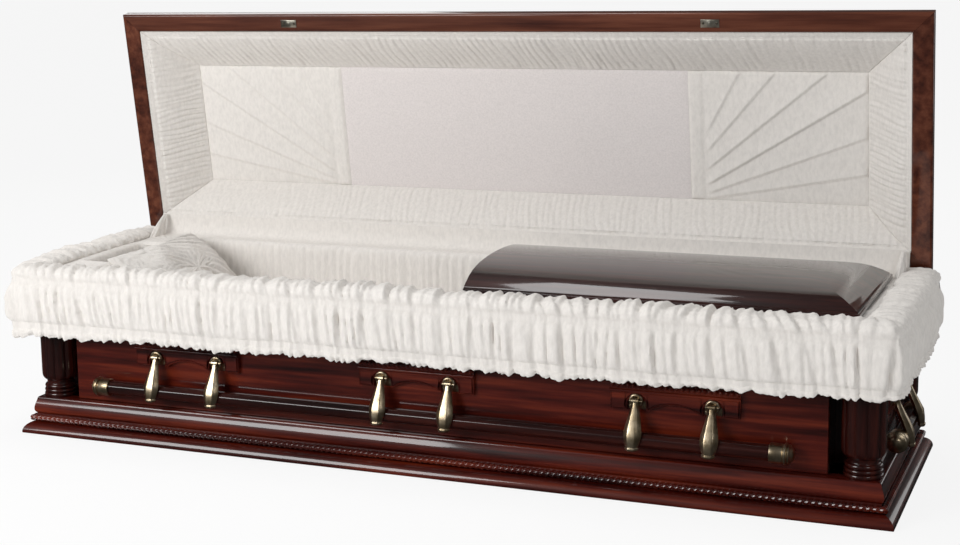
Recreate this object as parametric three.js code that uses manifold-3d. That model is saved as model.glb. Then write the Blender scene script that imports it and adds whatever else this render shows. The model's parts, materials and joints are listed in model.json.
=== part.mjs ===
// A full-length wooden casket with one hinged lid, shown open.
// Millimetres, +Z up. X runs along the length: the foot end is +X and the head end is -X.
// The front is -Y and the lid is hinged along the back, +Y.
// The origin is the middle of the underside.
import * as THREE from 'three';
import { mergeVertices } from 'three/addons/utils/BufferGeometryUtils.js';
import Module from 'manifold-3d';

const wasm = await Module();
wasm.setup();

// Driving dimensions

const FIT = 0.3; // gap that touching pieces keep

const BASE = { halfX: 1065, halfY: 320, ledge: 90, depth: 70, board: 18 };
const ROPE = { inset: 21.4, z: 37, radius: 7.2, sides: 8 };

const PANEL = { inset: 50, thick: 18, top: 384.7 };
const NOTCH = 93; // side of the square recess that each corner column stands in
const COLUMN = { inset: 74, top: 363.5, flutes: 10, ridge: 46, valley: 42 };

const RIM = { halfX: 1051, halfY: 306, width: 54, seat: 385, top: 410, skirtLine: 364 };

const LINING = { thick: 28, low: 90.5, top: 410 };
const BED = { gap: 2, top: 235 };
const PILLOW = { x: -765, halfX: 106, halfY: 205, low: 236, top: 452 };

const SKIRT = { backEnd: 285, corner: 54, cornerSteps: 4 };
const FOOT_PANEL = { cut: 100, end: 975, halfY: 232, low: 410.4, wall: 15 };

const LID = { base: 412.5, openAngle: 81, railWidth: 46, railTop: 446.5, capLow: 108, capThick: 6 };
const HINGE = { y: 311, z: 411.25, radius: 4.2, x: 600, length: 120, knuckles: 5, leaf: 2.2 };
const ROLL_REACH = { drawn: 85, front: 118, back: 76, end: 112 };
const CAP_CENTER_HALF = 465; // half length of the plain middle cap panel
const STRIKE = { x: 550, length: 42, width: 20, thick: 1.8, inset: 24 };
const GUSSET = { x: 990, thick: 12, front: 226, back: 297, rise: 56 };

const HANDLE = {
  pivotOut: 16, pivotZ: 216, barOut: 25.7, barZ: 134, barRadius: 17.5, armSpacing: 166, sides: 8,
};
const HANDLE_SPACING = 600; // between the plaques of a long side
const LONG_HANDLE = { half: 860, plaques: [-HANDLE_SPACING, 0, HANDLE_SPACING] };
const SHORT_HANDLE = { half: 150, plaques: [0] };
const PLAQUE = {
  half: 142, low: 194, height: 64, thick: 12,
  cutout: 21, cutoutRise: 11, archHalf: 56, archRise: 17,
};

// Materials

const finish = (color, roughness, metalness = 0) =>
  new THREE.MeshStandardMaterial({ color, roughness, metalness });

const mahogany = finish(0x4a0f0a, 0.15);
const rimMahogany = finish(0x55200f, 0.2);
const brass = finish(0x9a8a62, 0.35, 1);
const fabric = finish(0xe6e2da, 0.85);

// Geometry helpers

/** Makes a closed mesh from points and triangles, turned so that its faces point out. */
function closedMesh(points, triangles) {
  let volume = 0;
  const a = new THREE.Vector3();
  const b = new THREE.Vector3();
  const c = new THREE.Vector3();
  for (const [i, j, k] of triangles) {
    a.fromArray(points[i]);
    b.fromArray(points[j]);
    c.fromArray(points[k]);
    volume += a.dot(b.cross(c));
  }
  const index = triangles.flatMap(([i, j, k]) => (volume > 0 ? [i, j, k] : [i, k, j]));
  const geometry = new THREE.BufferGeometry();
  geometry.setAttribute('position', new THREE.Float32BufferAttribute(points.flat(), 3));
  geometry.setIndex(index);
  return geometry;
}

/** Joins rings of equal length into a skin. Open ends are capped with the outline's triangles. */
function skin(rings, outline, closed = false) {
  const count = rings[0].length;
  const triangles = [];
  const spans = closed ? rings.length : rings.length - 1;
  for (let r = 0; r < spans; r++) {
    const here = r * count;
    const next = ((r + 1) % rings.length) * count;
    for (let i = 0; i < count; i++) {
      const j = (i + 1) % count;
      triangles.push([here + i, here + j, next + j], [here + i, next + j, next + i]);
    }
  }
  if (!closed) {
    const flat = outline.map(([x, y]) => new THREE.Vector2(x, y));
    const last = (rings.length - 1) * count;
    const clockwise = THREE.ShapeUtils.isClockWise(flat);
    for (const face of THREE.ShapeUtils.triangulateShape(flat, [])) {
      const [i, j, k] = clockwise ? face.reverse() : face;
      triangles.push([i, k, j], [last + i, last + j, last + k]);
    }
  }
  return closedMesh(rings.flat(), triangles);
}

/** Sweeps a section of [inset, z] points past stations {x, y, dx, dy}: inset runs along (dx, dy). */
function sweep(section, stations, closed = false) {
  const rings = stations.map(({ x, y, dx, dy }) => section.map(([u, z]) => [x + u * dx, y + u * dy, z]));
  return skin(rings, section, closed);
}

/** Stacks level outlines. Each level is a list of [x, y] points and its height z. */
function stack(levels) {
  return skin(levels.map(({ points, z }) => points.map(([x, y]) => [x, y, z])), levels[0].points);
}

/** The four corners of a rectangle, with inward directions that keep its sides parallel. */
function cornerStations(halfX, halfY, reach = { front: 1, back: 1, end: 1 }) {
  return [
    { x: -halfX, y: -halfY, dx: reach.end, dy: reach.front },
    { x: halfX, y: -halfY, dx: -reach.end, dy: reach.front },
    { x: halfX, y: halfY, dx: -reach.end, dy: -reach.back },
    { x: -halfX, y: halfY, dx: reach.end, dy: -reach.back },
  ];
}

/** One mitred length of a moulding that runs round a rectangle. */
function mitredLength(section, corners, side) {
  const first = { front: 0, foot: 1, back: 2, head: 3 }[side];
  const from = { ...corners[first] };
  const to = { ...corners[(first + 1) % 4] };
  const length = Math.hypot(to.x - from.x, to.y - from.y);
  const stepX = ((to.x - from.x) / length) * FIT;
  const stepY = ((to.y - from.y) / length) * FIT;
  from.x += stepX;
  from.y += stepY;
  to.x -= stepX;
  to.y -= stepY;
  return sweep(section, [from, to]);
}

/** A plate with an outline in plan, from z low to z high. */
const plate = (points, low, high) => stack([{ points, z: low }, { points, z: high }]);

const rectangle = (x0, y0, x1, y1) => [[x0, y0], [x1, y0], [x1, y1], [x0, y1]];

const block = (x0, y0, z0, x1, y1, z1) => plate(rectangle(x0, y0, x1, y1), z0, z1);

/** A rectangle with a square notch in each corner: the plan inside the corner posts. */
function notchedOutline(halfX, halfY, notchX, notchY) {
  return [
    [notchX, -halfY], [notchX, -notchY], [halfX, -notchY],
    [halfX, notchY], [notchX, notchY], [notchX, halfY],
    [-notchX, halfY], [-notchX, notchY], [-halfX, notchY],
    [-halfX, -notchY], [-notchX, -notchY], [-notchX, -halfY],
  ];
}

/** A [y, z] outline run along X from x0 to x1. */
const alongX = (outline, x0, x1) =>
  skin([x0, x1].map((x) => outline.map(([y, z]) => [x, y, z])), outline);

/** A turned or fluted piece about a vertical axis: radius(i, level) is the reach of its side i. */
function turned(levels, sides, radius) {
  return stack(levels.map((level) => ({
    z: level.z,
    points: Array.from({ length: sides }, (_, i) => {
      const angle = (i / sides) * 2 * Math.PI;
      const r = radius(i, level);
      return [r * Math.cos(angle), r * Math.sin(angle)];
    }),
  })));
}

/** A turned piece laid along X: profile is a list of [x, radius]. */
function turnedAlongX(profile, sides) {
  const geometry = turned(profile.map(([x, r]) => ({ z: x, r })), sides, (i, level) => level.r);
  return geometry.rotateY(Math.PI / 2);
}

function toSolid(geometry) {
  const bare = geometry.clone();
  bare.deleteAttribute('normal');
  bare.deleteAttribute('uv');
  const merged = mergeVertices(bare, 1e-4);
  return new wasm.Manifold(new wasm.Mesh({
    numProp: 3,
    vertProperties: new Float32Array(merged.attributes.position.array),
    triVerts: new Uint32Array(merged.index.array),
  }));
}

function fromSolid(solid) {
  const mesh = solid.getMesh();
  const geometry = new THREE.BufferGeometry();
  geometry.setAttribute('position', new THREE.BufferAttribute(new Float32Array(mesh.vertProperties), 3));
  geometry.setIndex(new THREE.BufferAttribute(new Uint32Array(mesh.triVerts), 1));
  return geometry;
}

const join = (...geometries) => fromSolid(geometries.map(toSolid).reduce((a, b) => a.add(b)));

const cut = (geometry, tool) => fromSolid(toSolid(geometry).subtract(toSolid(tool)));

function add(group, name, geometry, material) {
  const mesh = new THREE.Mesh(geometry, material);
  mesh.name = name;
  group.add(mesh);
  return mesh;
}

// The body

const SIDES = ['front', 'foot', 'back', 'head'];
const CORNERS = {
  front_head: [-1, -1], front_foot: [1, -1], back_head: [-1, 1], back_foot: [1, 1],
};

// Planes shared by the body's pieces, measured from the middle of the casket.
const panelX = BASE.halfX - PANEL.inset;
const panelY = BASE.halfY - PANEL.inset;
const notchX = panelX - NOTCH;
const notchY = panelY - NOTCH;
const insideX = panelX - PANEL.thick;
const insideY = panelY - PANEL.thick;
const postInX = notchX - PANEL.thick;
const postInY = notchY - PANEL.thick;

function addBase(group) {
  const inX = BASE.halfX - BASE.depth - FIT;
  const inY = BASE.halfY - BASE.depth - FIT;
  add(group, 'bottom_board', block(-inX, -inY, 0, inX, inY, BASE.board), mahogany);

  // Plinth with an ovolo, a channel for the rope, then a swelling face under the ledge.
  const ledgeSection = [
    [0, 0], [0, 6], [3, 14], [9, 21], [16, 25], [21, 27], [27, 27], [29, 30], [29, 44], [30, 47],
    [25, 53], [24, 59], [25, 66], [28, 75], [30, 82], [31, 87], [34, BASE.ledge],
    [BASE.depth, BASE.ledge], [BASE.depth, 0],
  ];
  const corners = cornerStations(BASE.halfX, BASE.halfY);
  for (const side of SIDES) {
    add(group, `base_moulding_${side}`, mitredLength(ledgeSection, corners, side), mahogany);
  }

  const ropeSection = Array.from({ length: ROPE.sides }, (_, i) => {
    const angle = ((i + 0.5) / ROPE.sides) * 2 * Math.PI;
    return [ROPE.inset + ROPE.radius * Math.cos(angle), ROPE.z + ROPE.radius * Math.sin(angle)];
  });
  add(group, 'rope_moulding', sweep(ropeSection, corners, true), mahogany);
}

function addWalls(group) {
  const low = BASE.ledge + FIT;
  const high = PANEL.top;
  for (const [side, sign] of [['front', -1], ['back', 1]]) {
    const y = [sign * panelY, sign * insideY].sort((a, b) => a - b);
    add(group, `panel_${side}`, block(-notchX, y[0], low, notchX, y[1], high), mahogany);
  }
  for (const [end, sign] of [['head', -1], ['foot', 1]]) {
    const x = [sign * panelX, sign * insideX].sort((a, b) => a - b);
    add(group, `panel_${end}`, block(x[0], -notchY, low, x[1], notchY, high), mahogany);
  }
  for (const [corner, [sx, sy]] of Object.entries(CORNERS)) {
    const plan = [
      [postInX, insideY - FIT], [notchX, insideY - FIT], [notchX, notchY],
      [insideX - FIT, notchY], [insideX - FIT, postInY], [postInX, postInY],
    ].map(([x, y]) => [sx * x, sy * y]);
    add(group, `corner_post_${corner}`, plate(plan, low, high), mahogany);
  }
}

/** A fluted column on a stack of turned rings. */
function columnGeometry() {
  const ring = (z, r) => ({ z, ridge: r, valley: r });
  const levels = [
    ring(BASE.ledge + FIT, 39), ring(95, 40), ring(99, 36), ring(104, 39.5),
    ring(110, 35.5), ring(116, 38.5), ring(123, 34), ring(129, 34),
    { z: 140, ridge: COLUMN.ridge, valley: COLUMN.valley },
    { z: 334, ridge: COLUMN.ridge, valley: COLUMN.valley },
    ring(344, 34), ring(350, 38), ring(COLUMN.top, 40),
  ];
  return turned(levels, COLUMN.flutes * 2, (i, level) => (i % 2 ? level.valley : level.ridge));
}

function addColumns(group) {
  for (const [corner, [sx, sy]] of Object.entries(CORNERS)) {
    const column = add(group, `corner_column_${corner}`, columnGeometry(), mahogany);
    column.position.set(sx * (BASE.halfX - COLUMN.inset), sy * (BASE.halfY - COLUMN.inset), 0);
  }
}

/** The top rim: a moulded frame over the walls, with a block over each column. */
function addRim(group) {
  const faceInset = RIM.halfY - panelY - FIT;
  const section = [
    [0, 394], [0, 406], [4, RIM.top], [RIM.width, RIM.top], [RIM.width, RIM.seat],
    [faceInset, RIM.seat], [faceInset, RIM.skirtLine], [30, RIM.skirtLine], [27, 372], [16, 382], [6, 388],
  ];
  let rim = sweep(section, cornerStations(RIM.halfX, RIM.halfY), true);
  for (const [sx, sy] of Object.values(CORNERS)) {
    const span = (a, b, s) => [s * a, s * b].sort((p, q) => p - q);
    const [x0, x1] = span(postInX + FIT, RIM.halfX - RIM.width + 1, sx);
    const [y0, y1] = span(postInY + FIT, RIM.halfY - RIM.width + 1, sy);
    const [x2, x3] = span(notchX + FIT, RIM.halfX - 31, sx);
    const [y2, y3] = span(notchY + FIT, RIM.halfY - 31, sy);
    rim = join(rim, block(x0, y0, RIM.seat, x1, y1, RIM.top),
      block(x2, y2, RIM.skirtLine + 0.5, x3, y3, RIM.top - 1));
  }
  add(group, 'top_rim', rim, mahogany);
}

// Soft goods and the foot panel

function addInterior(group) {
  const outer = notchedOutline(insideX - 0.5, insideY - 0.5, postInX - 0.5, postInY - 0.5);
  const t = LINING.thick + 0.5;
  const innerHalf = [insideX - t, insideY - t, postInX - t, postInY - t];
  const lining = cut(
    plate(outer, LINING.low, LINING.top),
    plate(notchedOutline(...innerHalf), LINING.low - 5, LINING.top + 5),
  );
  add(group, 'interior_lining', lining, fabric);

  const bed = notchedOutline(...innerHalf.map((v) => v - BED.gap));
  add(group, 'mattress', plate(bed, BASE.board + 0.5, BED.top), fabric);

  // The pillow is a wedge: it rises towards the head.
  const rounded = (scale, z, lean) => ({
    z,
    points: Array.from({ length: 16 }, (_, i) => {
      const angle = (i / 16) * 2 * Math.PI;
      const soften = (v) => Math.sign(v) * Math.abs(v) ** 0.55;
      return [
        PILLOW.x - lean + PILLOW.halfX * scale * soften(Math.cos(angle)),
        PILLOW.halfY * (0.35 + 0.65 * scale) * soften(Math.sin(angle)),
      ];
    }),
  });
  const rise = PILLOW.top - PILLOW.low;
  add(group, 'pillow', stack([
    rounded(0.9, PILLOW.low, 0), rounded(1, PILLOW.low + 0.2 * rise, 0),
    rounded(0.93, PILLOW.low + 0.5 * rise, 7), rounded(0.7, PILLOW.low + 0.85 * rise, 31),
    rounded(0.42, PILLOW.top, 55),
  ]), fabric);
}

/** The gathered cloth that hangs over the rim on the front and both ends. */
function addSkirt(group) {
  // [outward, z] round the rim's edge: along the rim's top, over, and down to the hem.
  const section = [
    [-52, 411.5], [-54, 419], [-46, 427], [-24, 431], [4, 430], [21, 420], [29, 402], [32, 372],
    [32, 335], [30, 298], [26, 270], [17, 262], [9, 270], [7, 320], [5, 395], [4, 411.5],
  ];
  const radius = SKIRT.corner;
  const cornerX = RIM.halfX - radius;
  const cornerY = RIM.halfY - radius;
  const stations = [];
  const bend = (centreX, start) => {
    for (let i = 0; i <= SKIRT.cornerSteps; i++) {
      const angle = start + (i / SKIRT.cornerSteps) * (Math.PI / 2);
      // A rounded square: the cloth keeps clear of the rim's corner.
      const stretch = 1 / Math.max(Math.abs(Math.cos(angle)), Math.abs(Math.sin(angle)));
      const reach = 1 + (stretch - 1) * 0.93;
      const dx = Math.cos(angle) * reach;
      const dy = Math.sin(angle) * reach;
      stations.push({ x: centreX + radius * dx, y: -cornerY + radius * dy, dx, dy });
    }
  };
  stations.push({ x: -RIM.halfX, y: SKIRT.backEnd, dx: -1, dy: 0 });
  bend(-cornerX, Math.PI);
  bend(cornerX, 1.5 * Math.PI);
  stations.push({ x: RIM.halfX, y: SKIRT.backEnd, dx: 1, dy: 0 });
  add(group, 'overlay_skirt', sweep(section, stations), fabric);
}

/** A hipped wooden panel over the foot half, hollow underneath. */
function addFootPanel(group) {
  const shell = (profile, cutX) => stack(profile.map(([inset, z]) => ({
    z,
    points: rectangle(cutX, inset - FOOT_PANEL.halfY, FOOT_PANEL.end - inset, FOOT_PANEL.halfY - inset),
  })));
  const low = FOOT_PANEL.low;
  // A low moulded edge, then a hip that is steep at first and nearly level at the crown.
  const outside = shell([
    [0, low], [0, 424], [2, 426], [6, 426.5], [6, 429], [9, 430.5], [20, 438], [40, 449], [62, 457.5],
    [88, 464], [118, 469], [155, 472.5], [190, 474.5], [214, 475],
  ], FOOT_PANEL.cut);
  const wall = FOOT_PANEL.wall;
  const inside = shell([
    [wall, low - 5], [wall, 416], [42, 434], [90, 449], [155, 457.5], [214, 460],
  ], FOOT_PANEL.cut + wall);
  add(group, 'foot_panel', cut(outside, inside), mahogany);
}

/** Small cloth gussets between the rim's back corners and the open lid. */
function addGussets(group) {
  for (const [end, sign] of [['head', -1], ['foot', 1]]) {
    const low = RIM.top + 1.5;
    const side = (x) => [
      [x, GUSSET.front, low], [x, GUSSET.back, low], [x, GUSSET.back - 5, low + GUSSET.rise],
    ];
    const x = sign * GUSSET.x;
    const outline = [[0, 0], [1, 0], [1, 1]];
    add(group, `stay_gusset_${end}`,
      skin([side(x - GUSSET.thick / 2), side(x + GUSSET.thick / 2)], outline), fabric);
  }
}

// The lid, drawn closed

const LID_SIDES = cornerStations(RIM.halfX, RIM.halfY);

function addLidShell(group) {
  const z = LID.base;
  const railSection = [
    [3, z], [0, z + 3], [0, LID.railTop - 4], [4, LID.railTop], [LID.railWidth, LID.railTop],
    [LID.railWidth, z + 1], [LID.railWidth - 1, z],
  ];
  const low = LID.railTop + FIT;
  const coveSection = [
    [6, low], [7, 451], [12, 455], [16, 459], [18, 475], [25, 497], [37, 514], [53, 526], [70, 534],
    [84, 538], [84, 549], [98, 549], [98, 536], [78, 524], [60, 514], [46, 500], [38, 485], [34, 470],
    [32, low],
  ];
  for (const side of SIDES) {
    add(group, `lid_rail_${side}`, mitredLength(railSection, LID_SIDES, side), rimMahogany);
    add(group, `lid_cove_${side}`, mitredLength(coveSection, LID_SIDES, side), mahogany);
  }
  const layer = ([inset, height]) => ({
    z: height,
    points: rectangle(inset - RIM.halfX, inset - RIM.halfY, RIM.halfX - inset, RIM.halfY - inset),
  });
  const topPanel = stack([
    [72, 549.3], [69, 552], [69, 555], [73, 558], [80, 559], [84, 562], [200, 572],
  ].map(layer));
  add(group, 'lid_top_panel', topPanel, mahogany);
}

function addLidLining(group) {
  const base = LID.base;
  const unit = ROLL_REACH.drawn;
  const reach = { front: ROLL_REACH.front / unit, back: ROLL_REACH.back / unit, end: ROLL_REACH.end / unit };
  // [inset from the rails' inner edge, height]: the padded face, then its back inside the crown.
  const rollSection = [
    [0.5, 4], [8, 9], [18, 18], [32, 34], [48, 54], [62, 73], [75, 92], [unit - FIT, 107.5],
    [unit - FIT, 117], [52, 115], [34, 107], [18, 97], [4, 83], [0.5, 60],
  ].map(([u, z]) => [u, base + z]);
  const corners = cornerStations(RIM.halfX - LID.railWidth, RIM.halfY - LID.railWidth, reach);
  for (const side of SIDES) {
    add(group, `lid_lining_roll_${side}`, mitredLength(rollSection, corners, side), fabric);
  }

  const endX = RIM.halfX - LID.railWidth - ROLL_REACH.end;
  const frontY = -(RIM.halfY - LID.railWidth) + ROLL_REACH.front;
  const backY = RIM.halfY - LID.railWidth - ROLL_REACH.back;
  const low = base + LID.capLow;
  const cap = (x0, x1) => block(x0, frontY, low, x1, backY, low + LID.capThick);
  add(group, 'lid_cap_center', cap(-CAP_CENTER_HALF, CAP_CENTER_HALF), fabric);
  add(group, 'lid_cap_head', cap(-endX, -CAP_CENTER_HALF - FIT), fabric);
  add(group, 'lid_cap_foot', cap(CAP_CENTER_HALF + FIT, endX), fabric);
}

function addStrikePlates(group) {
  const y = STRIKE.inset - RIM.halfY;
  const top = LID.base - FIT;
  for (const [end, sign] of [['head', -1], ['foot', 1]]) {
    const x = sign * STRIKE.x;
    add(group, `strike_plate_${end}`, block(x - STRIKE.length / 2, y - STRIKE.width / 2, top - STRIKE.thick,
      x + STRIKE.length / 2, y + STRIKE.width / 2, top), brass);
  }
}

/** One leaf of a butt hinge, with every second knuckle. direction is -1 for the body, 1 for the lid. */
function hingeLeaf(x, direction) {
  const knuckle = HINGE.length / HINGE.knuckles;
  const first = direction < 0 ? 0 : 1;
  const faceY = RIM.halfY + FIT;
  const clear = HINGE.radius + 1;
  const far = direction < 0 ? HINGE.z - 17 : HINGE.z + 27;
  const near = HINGE.z + direction * clear;
  const zs = [far, near].sort((a, b) => a - b);
  const start = x - HINGE.length / 2;
  let leaf = block(start, faceY, zs[0], start + HINGE.length, faceY + HINGE.leaf, zs[1]);
  for (let k = first; k < HINGE.knuckles; k += 2) {
    const x0 = start + k * knuckle + FIT;
    const x1 = start + (k + 1) * knuckle - FIT;
    const tab = [near + direction, HINGE.z].sort((a, b) => a - b);
    const barrel = turnedAlongX([[x0, HINGE.radius], [x1, HINGE.radius]], 8);
    barrel.translate(0, HINGE.y, HINGE.z);
    leaf = join(leaf, block(x0, faceY, tab[0], x1, faceY + HINGE.leaf, tab[1]), barrel);
  }
  return leaf;
}

// Handles

/** A carved wooden plaque with its two brass lugs, standing on a wall at y = 0, facing -Y. */
function plaqueGeometry() {
  const p = PLAQUE;
  const lug = HANDLE.armSpacing / 2;
  const archRadius = (p.archHalf ** 2 + p.archRise ** 2) / (2 * p.archRise);
  const archAngle = Math.asin(p.archHalf / archRadius);
  const shape = new THREE.Shape();
  shape.moveTo(-p.half, 0);
  const notch = (x) => {
    shape.lineTo(x - p.cutout, 0);
    shape.lineTo(x - p.cutout, p.cutoutRise);
    shape.absarc(x, p.cutoutRise, p.cutout, Math.PI, 0, true);
    shape.lineTo(x + p.cutout, 0);
  };
  notch(-lug);
  shape.lineTo(-p.archHalf, 0);
  const top = Math.PI / 2;
  shape.absarc(0, p.archRise - archRadius, archRadius, top + archAngle, top - archAngle, true);
  notch(lug);
  shape.lineTo(p.half, 0);
  shape.lineTo(p.half, p.height);
  shape.lineTo(-p.half, p.height);
  const board = new THREE.ExtrudeGeometry(shape, { depth: p.thick, bevelEnabled: false, curveSegments: 4 });
  board.rotateX(Math.PI / 2);
  // A fillet with a round bead above it, [y, z], along the plaque's top edge.
  const bead = [
    [-1, 41], [-16, 41], [-16, 46], [-13, 47.5], [-16.5, 51], [-16.5, 57], [-11, 62.5], [-1, 62.5],
  ];
  const beadEnd = p.half + 1;
  const parts = [board, alongX(bead, -beadEnd, beadEnd)];

  const pivotZ = HANDLE.pivotZ - PLAQUE.low;
  for (const sign of [-1, 1]) {
    const x = sign * lug;
    parts.push(block(x - 24, -5, -22, x + 24, -0.5, pivotZ + 12));
    const y = -HANDLE.pivotOut;
    const cheek = [
      [-4, pivotZ - 9], [y, pivotZ - 9], [y - 6.5, pivotZ - 6], [y - 9, pivotZ],
      [y - 6.5, pivotZ + 6], [y, pivotZ + 9], [-4, pivotZ + 9],
    ];
    parts.push(alongX(cheek, x + 7.8, x + 11.8), alongX(cheek, x - 11.8, x - 7.8));
  }
  return join(...parts).translate(0, -FIT, PLAQUE.low);
}

/** A bar with a brass cap at each end, hung on faceted arms. The pivot line is the X axis. */
function handleGeometry({ half, plaques }) {
  const bar = { y: HANDLE.pivotOut - HANDLE.barOut, z: HANDLE.barZ - HANDLE.pivotZ };
  const capLength = 52;
  const joinAt = half - capLength + 8;
  const parts = [turnedAlongX([[-joinAt, HANDLE.barRadius], [joinAt, HANDLE.barRadius]], HANDLE.sides)];
  const capProfile = [[0, 21.5], [27, 21.5], [30, 24], [36, 24], [41, 21], [47, 15], [capLength, 4]];
  for (const sign of [-1, 1]) {
    const profile = capProfile.map(([x, r]) => [sign * (half - capLength + x), r]);
    parts.push(turnedAlongX(sign > 0 ? profile : profile.reverse(), HANDLE.sides));
  }
  parts.forEach((part) => part.translate(0, bar.y, bar.z));

  // [z, y, width, thickness] down the arm.
  const armLevels = [
    [2, 0, 14, 12], [-10, -3.5, 14.4, 13], [-16, -6, 17.5, 14], [-34, -14, 24, 15], [-54, -23.5, 32, 16.5],
    [-68, -28.5, 34.5, 17], [-90, -33, 26.5, 14.5], [-101, -34.5, 23, 12.5],
  ];
  for (const plaque of plaques) {
    for (const sign of [-1, 1]) {
      const x = plaque + sign * (HANDLE.armSpacing / 2);
      const facets = [[-2, 0], [-1, -2], [1, -2], [2, 0], [1, 2], [-1, 2]];
      const arm = stack(armLevels.map(([z, y, w, t]) => ({
        z,
        points: facets.map(([across, out]) => [x + (across * w) / 4, y + (out * t) / 4]),
      })));
      const head = turnedAlongX([[x - 7.4, 7.5], [x + 7.4, 7.5]], 8);
      parts.push(arm, head);
    }
  }
  return join(...parts);
}

/** The four faces that carry handles: which way each turns, and how far its wall is from the middle. */
const HANDLE_FACES = {
  front: { turn: 0, x: 0, y: -panelY, handle: LONG_HANDLE },
  back: { turn: Math.PI, x: 0, y: panelY, handle: LONG_HANDLE },
  head: { turn: -Math.PI / 2, x: -panelX, y: 0, handle: SHORT_HANDLE },
  foot: { turn: Math.PI / 2, x: panelX, y: 0, handle: SHORT_HANDLE },
};

function addHandles(group) {
  for (const [side, { turn, x, y, handle }] of Object.entries(HANDLE_FACES)) {
    const face = new THREE.Group();
    face.position.set(x, y, 0);
    face.rotation.z = turn;
    group.add(face);
    const places = handle.plaques.length > 1 ? ['_1', '_2', '_3'] : [''];
    handle.plaques.forEach((along, i) => {
      const plaque = add(face, `handle_plaque_${side}${places[i]}`, plaqueGeometry(), mahogany);
      plaque.position.x = along;
    });
    const swing = add(face, `handle_${side}`, handleGeometry(handle), brass);
    swing.position.set(0, -FIT - HANDLE.pivotOut, HANDLE.pivotZ);
  }
}

// Assembly

const casket = new THREE.Group();
addBase(casket);
addWalls(casket);
addColumns(casket);
addRim(casket);
addInterior(casket);
addSkirt(casket);
addFootPanel(casket);
addGussets(casket);
addHandles(casket);

// The lid turns about the hinge line at the back. Closed is 0; it is shown open.
const lidPivot = new THREE.Group();
lidPivot.position.set(0, HINGE.y, HINGE.z);
lidPivot.rotation.x = THREE.MathUtils.degToRad(-LID.openAngle);
const lid = new THREE.Group();
lid.position.set(0, -HINGE.y, -HINGE.z);
lidPivot.add(lid);
casket.add(lidPivot);
addLidShell(lid);
addLidLining(lid);
addStrikePlates(lid);
for (const [end, sign] of [['head', -1], ['foot', 1]]) {
  add(casket, `hinge_body_leaf_${end}`, hingeLeaf(sign * HINGE.x, -1), brass);
  add(lid, `hinge_lid_leaf_${end}`, hingeLeaf(sign * HINGE.x, 1), brass);
}

export default casket;
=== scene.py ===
# %% [markdown]
# A mahogany casket, dressed around its frame.
# The frame holds the cabinet maker's boards, mouldings, hinges and handles at their real size.
# This lesson adds what a joiner's model leaves out: carving, cast metal, lacquer and sewn cloth.
# All of it could be sculpted by hand. Here every shape comes from a section or a formula, because
# the real mouldings come from a cutter and the real folds from a gathering stitch.
# Lengths are in metres, +X is the foot end, the lid is hinged along +Y and +Z is up.

import json
import math

import bmesh
import bpy
import numpy as np
from mathutils import Matrix, Vector


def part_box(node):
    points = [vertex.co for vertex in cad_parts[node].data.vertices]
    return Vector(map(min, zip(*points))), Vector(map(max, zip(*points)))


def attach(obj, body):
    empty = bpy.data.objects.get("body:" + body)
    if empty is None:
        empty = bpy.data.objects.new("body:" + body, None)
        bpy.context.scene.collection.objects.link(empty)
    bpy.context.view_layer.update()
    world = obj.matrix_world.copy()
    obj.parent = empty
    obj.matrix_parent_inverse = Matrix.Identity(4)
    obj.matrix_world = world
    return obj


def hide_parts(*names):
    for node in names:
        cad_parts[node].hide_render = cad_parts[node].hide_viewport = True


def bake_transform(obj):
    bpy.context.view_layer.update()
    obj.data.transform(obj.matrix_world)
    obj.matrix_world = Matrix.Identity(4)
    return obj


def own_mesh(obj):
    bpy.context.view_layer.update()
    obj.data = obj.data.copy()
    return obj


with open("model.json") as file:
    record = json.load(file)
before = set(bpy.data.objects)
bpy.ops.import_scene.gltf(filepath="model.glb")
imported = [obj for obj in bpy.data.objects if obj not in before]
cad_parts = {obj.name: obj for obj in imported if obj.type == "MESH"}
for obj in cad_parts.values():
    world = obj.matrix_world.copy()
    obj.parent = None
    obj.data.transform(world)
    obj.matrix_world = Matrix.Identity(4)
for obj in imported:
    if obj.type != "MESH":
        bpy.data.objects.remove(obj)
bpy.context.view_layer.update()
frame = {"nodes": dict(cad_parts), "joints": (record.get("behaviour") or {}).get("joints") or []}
MM = 0.001

# %% [markdown]
# The camera stands to the right of the middle and looks slightly down, as a photographer would in a
# showroom. Its place could be guessed by eye. It was worked out from the corners of the base and
# the lid instead, so that the long front runs down to the right at the same slope.

# %% Camera
IMAGE_WIDTH, IMAGE_HEIGHT = 960, 545
CAMERA_PLACE = Vector((1.5224, -3.8418, 1.2203))
CAMERA_YAW, CAMERA_PITCH, CAMERA_ROLL = 24.53, -9.56, -1.36
FOCAL_PIXELS = 1751
CENTRE_X, CENTRE_Y = 370.6, 229.1  # the pixel that the lens axis meets

yaw, pitch, roll = (math.radians(a) for a in (CAMERA_YAW, CAMERA_PITCH, CAMERA_ROLL))
forward = Vector((-math.sin(yaw) * math.cos(pitch), math.cos(yaw) * math.cos(pitch), math.sin(pitch)))
level = forward.cross(Vector((0, 0, 1))).normalized()
upright = level.cross(forward)
right = math.cos(roll) * level + math.sin(roll) * upright
up = math.cos(roll) * upright - math.sin(roll) * level

lens = bpy.data.cameras.new("camera")
lens.sensor_width = 36
lens.lens = FOCAL_PIXELS / IMAGE_WIDTH * lens.sensor_width
lens.shift_x = (IMAGE_WIDTH / 2 - CENTRE_X) / IMAGE_WIDTH
lens.shift_y = (CENTRE_Y - IMAGE_HEIGHT / 2) / IMAGE_WIDTH
camera = bpy.data.objects.new("camera", lens)
turn = Matrix((right, up, -forward)).transposed().to_4x4()
camera.matrix_world = Matrix.Translation(CAMERA_PLACE) @ turn
bpy.context.scene.collection.objects.link(camera)
bpy.context.scene.camera = camera
print("lens", round(lens.lens, 1), "mm, shift", round(lens.shift_x, 3), round(lens.shift_y, 3))

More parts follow.
